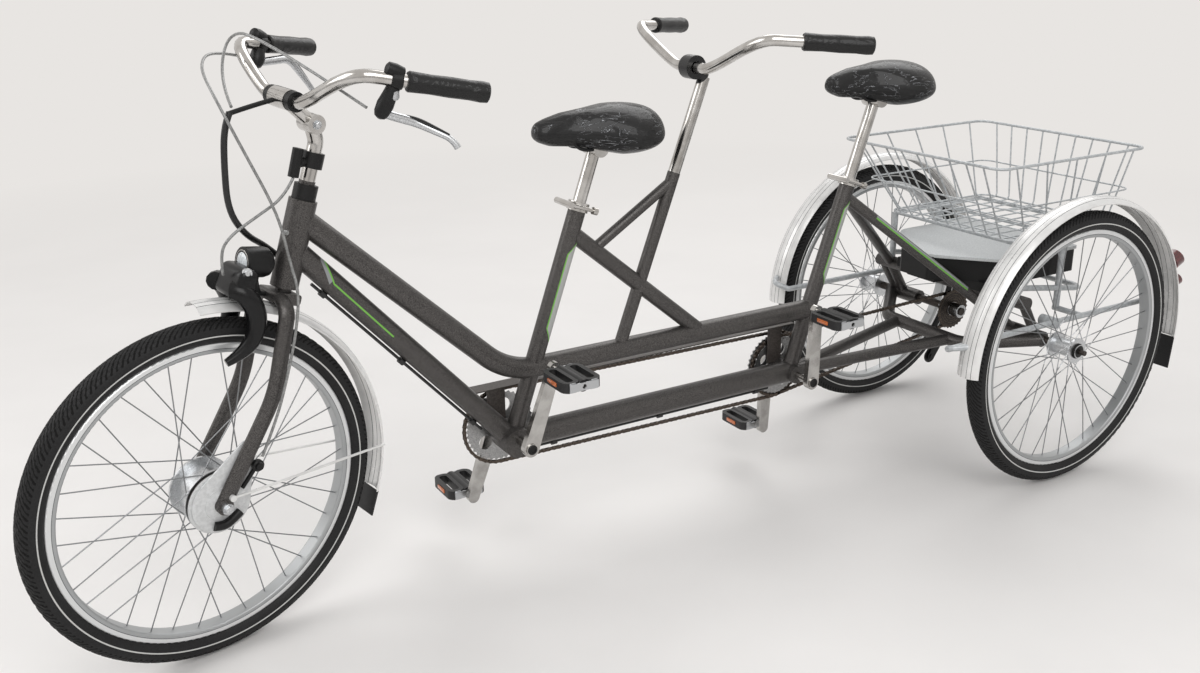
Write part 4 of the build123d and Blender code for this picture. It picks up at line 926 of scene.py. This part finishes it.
# Chains: half-inch pitch bushed links, oiled brown steel. One outer and one inner link are
# made, copied round the pin line of each chain, and joined to one loop a chain. The
# sprockets are browned like the chains, and the chainrings are satin steel.
chain_steel = new_finish("oiled_chain_steel", "2c2724", "6d6259", 1.6, 0.38, 0.85, 0.05)[0]
link_pitch = 0.0127
plate_end, plate_wall, plate_waist = 0.0040, 0.0009, 0.68
roller_radius = 0.0036


def link(name, plate_y):
    """A roller and two waisted side plates, its pins half a pitch each side of the middle."""
    alone()
    plates = []
    for side in (-1, 1):
        bpy.ops.mesh.primitive_circle_add(
            vertices=12,
            radius=plate_end,
            fill_type="NGON",
            location=(0, side * plate_y, 0),
            rotation=(math.pi / 2, 0, 0),
        )
        link_plate = bpy.context.object
        for corner in link_plate.data.vertices:
            if abs(corner.co.x) > 0.0002:
                corner.co.x += math.copysign(link_pitch / 2, corner.co.x)
            else:
                corner.co.y *= plate_waist
        edit_all()
        wall = {"value": (0, side * plate_wall, 0)}
        bpy.ops.mesh.extrude_region_move(TRANSFORM_OT_translate=wall)
        face_out()
        plates.append(settle(link_plate, f"{name}_plate"))
    bpy.ops.mesh.primitive_cylinder_add(
        vertices=8,
        radius=roller_radius,
        depth=2 * plate_y,
        location=(link_pitch / 2, 0, 0),
        rotation=(math.pi / 2, 0, 0),
        end_fill_type="NOTHING",
    )
    roller = bpy.context.object
    alone(roller)
    bpy.ops.object.transform_apply(location=True, rotation=True, scale=True)
    alone(roller, *plates)
    bpy.ops.object.join()
    joined = bpy.context.object
    joined.name = name
    return joined


def pin_line(first, first_radius, second, second_radius):
    """The pins of a chain round two sprockets, one pitch apart."""
    run = second - first
    level = math.atan2(run.z, run.x)
    reach = math.acos((first_radius - second_radius) / run.length)
    straight = run.length * math.sin(reach)
    pins = []
    for centre, radius, start, swing in (
        (first, first_radius, level + reach, 2 * math.pi - 2 * reach),
        (second, second_radius, level - reach, 2 * reach),
    ):
        steps = round(radius * swing / link_pitch)
        for step in range(steps):
            angle = start + swing * step / steps
            pins.append(centre + Vector((math.cos(angle), 0, math.sin(angle))) * radius)
        angle = start + swing
        corner = centre + Vector((math.cos(angle), 0, math.sin(angle))) * radius
        way = Vector((-math.sin(angle), 0, math.cos(angle)))
        steps = round(straight / link_pitch)
        for step in range(steps):
            pins.append(corner + way * (straight * step / steps))
    return pins


inner_link = link("inner_link", 0.0017)
outer_link = link("outer_link", 0.0026)
axle_middle = (left_hub + right_hub) / 2
for chain_name, first, first_teeth, second, second_teeth, offset in (
    ("timing_chain", front_bracket, 40, rear_bracket, 40, -0.056),
    ("drive_chain", rear_bracket, 36, axle_middle, 21, -0.044),
):
    radii = [link_pitch / (2 * math.sin(math.pi / teeth)) for teeth in (first_teeth, second_teeth)]
    pins = pin_line(first, radii[0], second, radii[1])
    copies = []
    for number, pin in enumerate(pins):
        after = pins[(number + 1) % len(pins)]
        source = outer_link if number % 2 else inner_link
        made = bpy.data.objects.new(f"{chain_name}_{number}", source.data.copy())
        middle = (pin + after) / 2 + Vector((0, offset, 0))
        tilt = math.atan2(-(after - pin).z, (after - pin).x)
        made.data.transform(Matrix.Translation(middle) @ Matrix.Rotation(tilt, 4, "Y"))
        bpy.context.collection.objects.link(made)
        copies.append(made)
    alone(*copies)
    bpy.ops.object.join()
    loop = bpy.context.object
    loop.name = f"{chain_name}_links"
    loop.data.materials.clear()
    loop.data.materials.append(chain_steel)
    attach(loop, "frame")
    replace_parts(loop, chain_name)
for source in (inner_link, outer_link):
    bpy.data.objects.remove(source)

browned = ("browned_sprocket_steel", "2a2521", "5d544c", 2.0, 0.4, 0.85, 0.08)
sprocket_steel, tree, shader = new_finish(*browned)
reach = round_axle(tree, axle_middle, across_axle)[3]
gap_width, lockring_radius = 0.0022, 0.0176
# Painted shade: dark rings at the gaps between the sprockets, for the shade in them.
for gap in (0.0215, 0.0275, 0.0335, 0.0395):
    painted(tree, shader, between(tree, reach, gap, gap + gap_width), "161210", 0.6, 0.2)
painted(tree, shader, between(tree, reach, -0.01, lockring_radius), "b4b6b8", 0.25, 1.0)
wear(sprocket_steel, "cassette")
ring_steel = new_finish("satin_ring_steel", "8a8a8a", "adadad", 2.0, 0.3, 0.9, 0.08)[0]
wear(ring_steel, "front_chainring", "rear_chainrings")


# Pedals: two black rubber loops on a steel barrel between bright end plates, with an amber
# reflector let into the front and the back of each.
rubber_grain = ("pedal_rubber_and_plates", "0d0d0e", "1c1c1d", 1.8, 0.5, 0.0, 0.15)
pedal_rubber, tree, shader = new_finish(*rubber_grain)
y = own_space(tree, (0, 0, 0), (0, 0, 0))[1]
from_middle = add(tree, "ShaderNodeMath", {0: y}, operation="ABSOLUTE").outputs[0]
for plate_ends in ((0.1972, 0.2100), (0.0900, 0.1028)):
    painted(tree, shader, between(tree, from_middle, *plate_ends), "bcbec0", 0.3, 1.0)
amber, tree, shader = new_finish("amber_reflector_plastic", "b4531c", "d2722c", 1.5, 0.15)
shine(shader, coat=1.0)
cell = 3.0  # millimetres across one cell of the reflector
cells = {"Vector": add(tree, "ShaderNodeTexCoord").outputs["Object"], "Scale": 1000.0 / cell}
cells = add(tree, "ShaderNodeTexVoronoi", cells).outputs["Distance"]
add(tree, "ShaderNodeBump", {"Height": cells, "Distance": 0.0008}, shader.inputs["Normal"])
reflector_size, reflector_edge, sunk = (0.005, 0.034, 0.0085), 0.0012, 0.0006
for crank_name in ("front", "rear"):
    for side_name, side in sides:
        pedal_name = f"{crank_name}_pedal_{side_name}"
        wear(pedal_rubber, pedal_name)
        low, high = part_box(pedal_name)
        for end_name, x in (("ahead", high[0] - sunk), ("behind", low[0] + sunk)):
            seat = (x, (low[1] + high[1]) / 2, (low[2] + high[2]) / 2)
            alone()
            bpy.ops.mesh.primitive_cube_add(size=1, location=seat)
            glass = bpy.context.object
            edit_all()
            bpy.ops.transform.resize(value=reflector_size)
            bpy.ops.mesh.bevel(offset=reflector_edge, segments=2)
            settle(glass, f"{pedal_name}_reflector_{end_name}")
            dressed(glass, amber, 30, f"{crank_name}_{side_name}_pedal")


# Basket and carrier: welded steel wire and tube, dipped in light grey plastic paint. The
# paint is smooth and half glossy, and a little uneven where it ran.
dipped = ("light_grey_dipped_paint", "a9acae", "c0c3c4", 8.0, 0.34, 0.2, 0.1)
wear(new_finish(*dipped)[0], "carrier", "basket")


# Axle cover: a moulded black tray under a light grey lid with a fine matt grain. The lid is
# one plate, drawn round five discs as by a belt, which gives it a rounded front.
wear(nylon, "axle_cover")
cover_grain = ("grey_moulded_cover", "b9bbbb", "c9cbcb", 3.0, 0.5, 0.0, 0.12)
cover_plastic = new_finish(*cover_grain)[0]
low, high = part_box("axle_cover")
lid_seat, lid_wall = high[2] - 0.001, Vector((0, 0, 0.008))
lid_rows = (
    # ahead of the tray's back edge, side and radius, in millimetres
    (268, 0, 100),
    (220, -118, 60),
    (8, -168, 10),
    (220, 118, 60),
    (8, 168, 10),
)
lid_discs = [
    (Vector((low[0] + ahead / 1000.0, side / 1000.0, lid_seat)), radius)
    for ahead, side, radius in lid_rows
]
plate("cover_lid", lid_discs, lid_wall, cover_plastic, "frame")


# Rear lamps: a large and a small one on the left mudguard. Both are dark red plastic with a
# polished face, which shines like glass.
lamp_red, tree, shader = new_finish("dark_red_lamp_plastic", "3d1114", "641a1c", 4.0, 0.2)
shine(shader, coat=1.0, coat_roughness=0.05)
wear(lamp_red, "rear_lamps")


# Saddles: a foam pad on two rails, in black vinyl, with wings at the back and a narrow nose.
# The pad is blown up as cloth. The clear film it was packed in still clings to it as a glossy
# wrinkled coat, and the sharp bright lines of its wrinkles are painted highlights on the black.
def blown_up(piece, pressure, cap):
    """Run the pad as cloth under air pressure, with no point moved more than the cap."""
    start = [point.co.copy() for point in piece.data.vertices]
    cloth = piece.modifiers.new("cloth", "CLOTH")
    cloth.settings.use_pressure = True
    cloth.settings.uniform_pressure_force = pressure
    cloth.settings.effector_weights.gravity = 0
    for step in range(1, 21):
        bpy.context.scene.frame_set(step)
    alone(piece)
    bpy.ops.object.modifier_apply(modifier="cloth")
    for point, before in zip(piece.data.vertices, start):
        gone = point.co - before
        if gone.length > cap:
            point.co = before + gone * (cap / gone.length)
    bpy.context.scene.frame_set(1)


vinyl_grain = ("black_vinyl_under_clear_film", "080809", "131314", 1.6, 0.5, 0.0, 0.3)
vinyl, tree, shader = new_finish(*vinyl_grain)
shine(shader, 0.25, 0.3, 0.06)
place = add(tree, "ShaderNodeTexCoord").outputs["Object"]
drawn_out = {0: place, "Scale": (16.0, 34.0, 70.0)}
drawn_out = add(tree, "ShaderNodeMapping", drawn_out).outputs[0]
wrinkles = {"Vector": drawn_out, "Scale": 1.0, "Detail": 3.0, "Distortion": 1.2}
wrinkles = add(tree, "ShaderNodeTexNoise", wrinkles).outputs["Fac"]
folds = add(tree, "ShaderNodeMath", {0: wrinkles, 1: 0.5}, operation="SUBTRACT").outputs[0]
folds = add(tree, "ShaderNodeMath", {0: folds}, operation="ABSOLUTE").outputs[0]
ridge = add(tree, "ShaderNodeMath", {0: folds, 1: 0.022}, operation="MINIMUM").outputs[0]
add(tree, "ShaderNodeBump", {"Height": ridge, "Distance": 0.04}, shader.inputs["Coat Normal"])
# Painted highlights: light grey streaks painted into the colour along the film's wrinkles, in
# patches.
highlight_patches = {"Vector": place, "Scale": 22.0, "Detail": 1.0}
highlight_patches = add(tree, "ShaderNodeTexNoise", highlight_patches).outputs["Fac"]
painted_film_highlights = both(tree, between(tree, folds, -1.0, 0.0035), between(tree, highlight_patches, 0.46, 2.0))
painted(tree, shader, painted_film_highlights, "a4a6aa", 0.2)

pad_over_base, under_depth, voxel = 0.054, 0.5, 0.005
saddle_stations = (
    # share of the length from the tail, half width, underside and top from the base
    (0.015, 0.056, -0.016, 0.034),
    (0.05, 0.078, -0.030, 0.043),
    (0.13, 0.095, -0.040, 0.050),
    (0.26, 0.101, -0.042, 0.053),
    (0.38, 0.092, -0.034, 0.051),
    (0.50, 0.070, -0.026, 0.047),
    (0.62, 0.050, -0.018, 0.044),
    (0.74, 0.038, -0.013, 0.041),
    (0.87, 0.031, -0.010, 0.037),
    (0.96, 0.025, -0.007, 0.032),
    (0.99, 0.014, 0.000, 0.025),
)
for saddle_name, post_x, post_z in (
    ("front_saddle", 0.1699, 0.858),
    ("rear_saddle", -0.5648, 0.894),
):
    low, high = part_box(saddle_name)
    length = high[0] - low[0]
    base = high[2] - pad_over_base
    stations = []
    for share, half, under, top in saddle_stations:
        stations.append((low[0] + share * length, half, base + under, base + top))
    tail_x, half, under, top = stations[0]
    depth = (top - under) / (1 + under_depth)
    middle = (tail_x, 0, top - depth)
    alone()
    bpy.ops.mesh.primitive_circle_add(
        vertices=20, radius=1.0, fill_type="NGON", location=middle, rotation=(0, math.pi / 2, 0)
    )
    pad = bpy.context.object
    bpy.ops.object.mode_set(mode="EDIT")
    bpy.ops.transform.resize(value=(1, half, depth), center_override=middle)
    pick(pad, lambda place: place.z < middle[2] - 0.0005)
    bpy.ops.transform.resize(value=(1, 1, under_depth), center_override=middle)
    bpy.ops.mesh.select_all(action="SELECT")
    old_half, old_depth = half, depth
    for x, half, under, top in stations[1:]:
        depth = (top - under) / (1 + under_depth)
        step = (x - middle[0], 0, top - depth - middle[2])
        bpy.ops.mesh.extrude_region_move(TRANSFORM_OT_translate={"value": step})
        middle = (x, 0, top - depth)
        share = (1, half / old_half, depth / old_depth)
        bpy.ops.transform.resize(value=share, center_override=middle)
        old_half, old_depth = half, depth
    face_out()
    settle(pad, saddle_name + "_pad")
    modified(pad, "SUBSURF", levels=2, render_levels=2)
    modified(pad, "REMESH", mode="VOXEL", voxel_size=voxel)
    blown_up(pad, pressure=4.0, cap=0.006)
    modified(pad, "SUBSURF", levels=1, render_levels=1)
    alone(pad)
    bpy.ops.object.shade_smooth()
    pad.data.materials.clear()
    pad.data.materials.append(vinyl)
    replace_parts(pad, saddle_name)
    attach(pad, "frame")
    for side_name, side in reversed(sides):
        rod(
            f"{saddle_name}_rail_{side_name}",
            [
                Vector((high[0] - 0.050, side * 0.007, base + 0.014)),
                Vector((high[0] - 0.075, side * 0.014, base - 0.002)),
                Vector((post_x + 0.045, side * 0.022, post_z)),
                Vector((post_x, side * 0.022, post_z)),
                Vector((post_x - 0.060, side * 0.022, post_z)),
                Vector((low[0] + 0.060, side * 0.038, base - 0.004)),
                Vector((low[0] + 0.045, side * 0.042, base + 0.012)),
            ],
            3.5,
            nylon,
            "frame",
        )
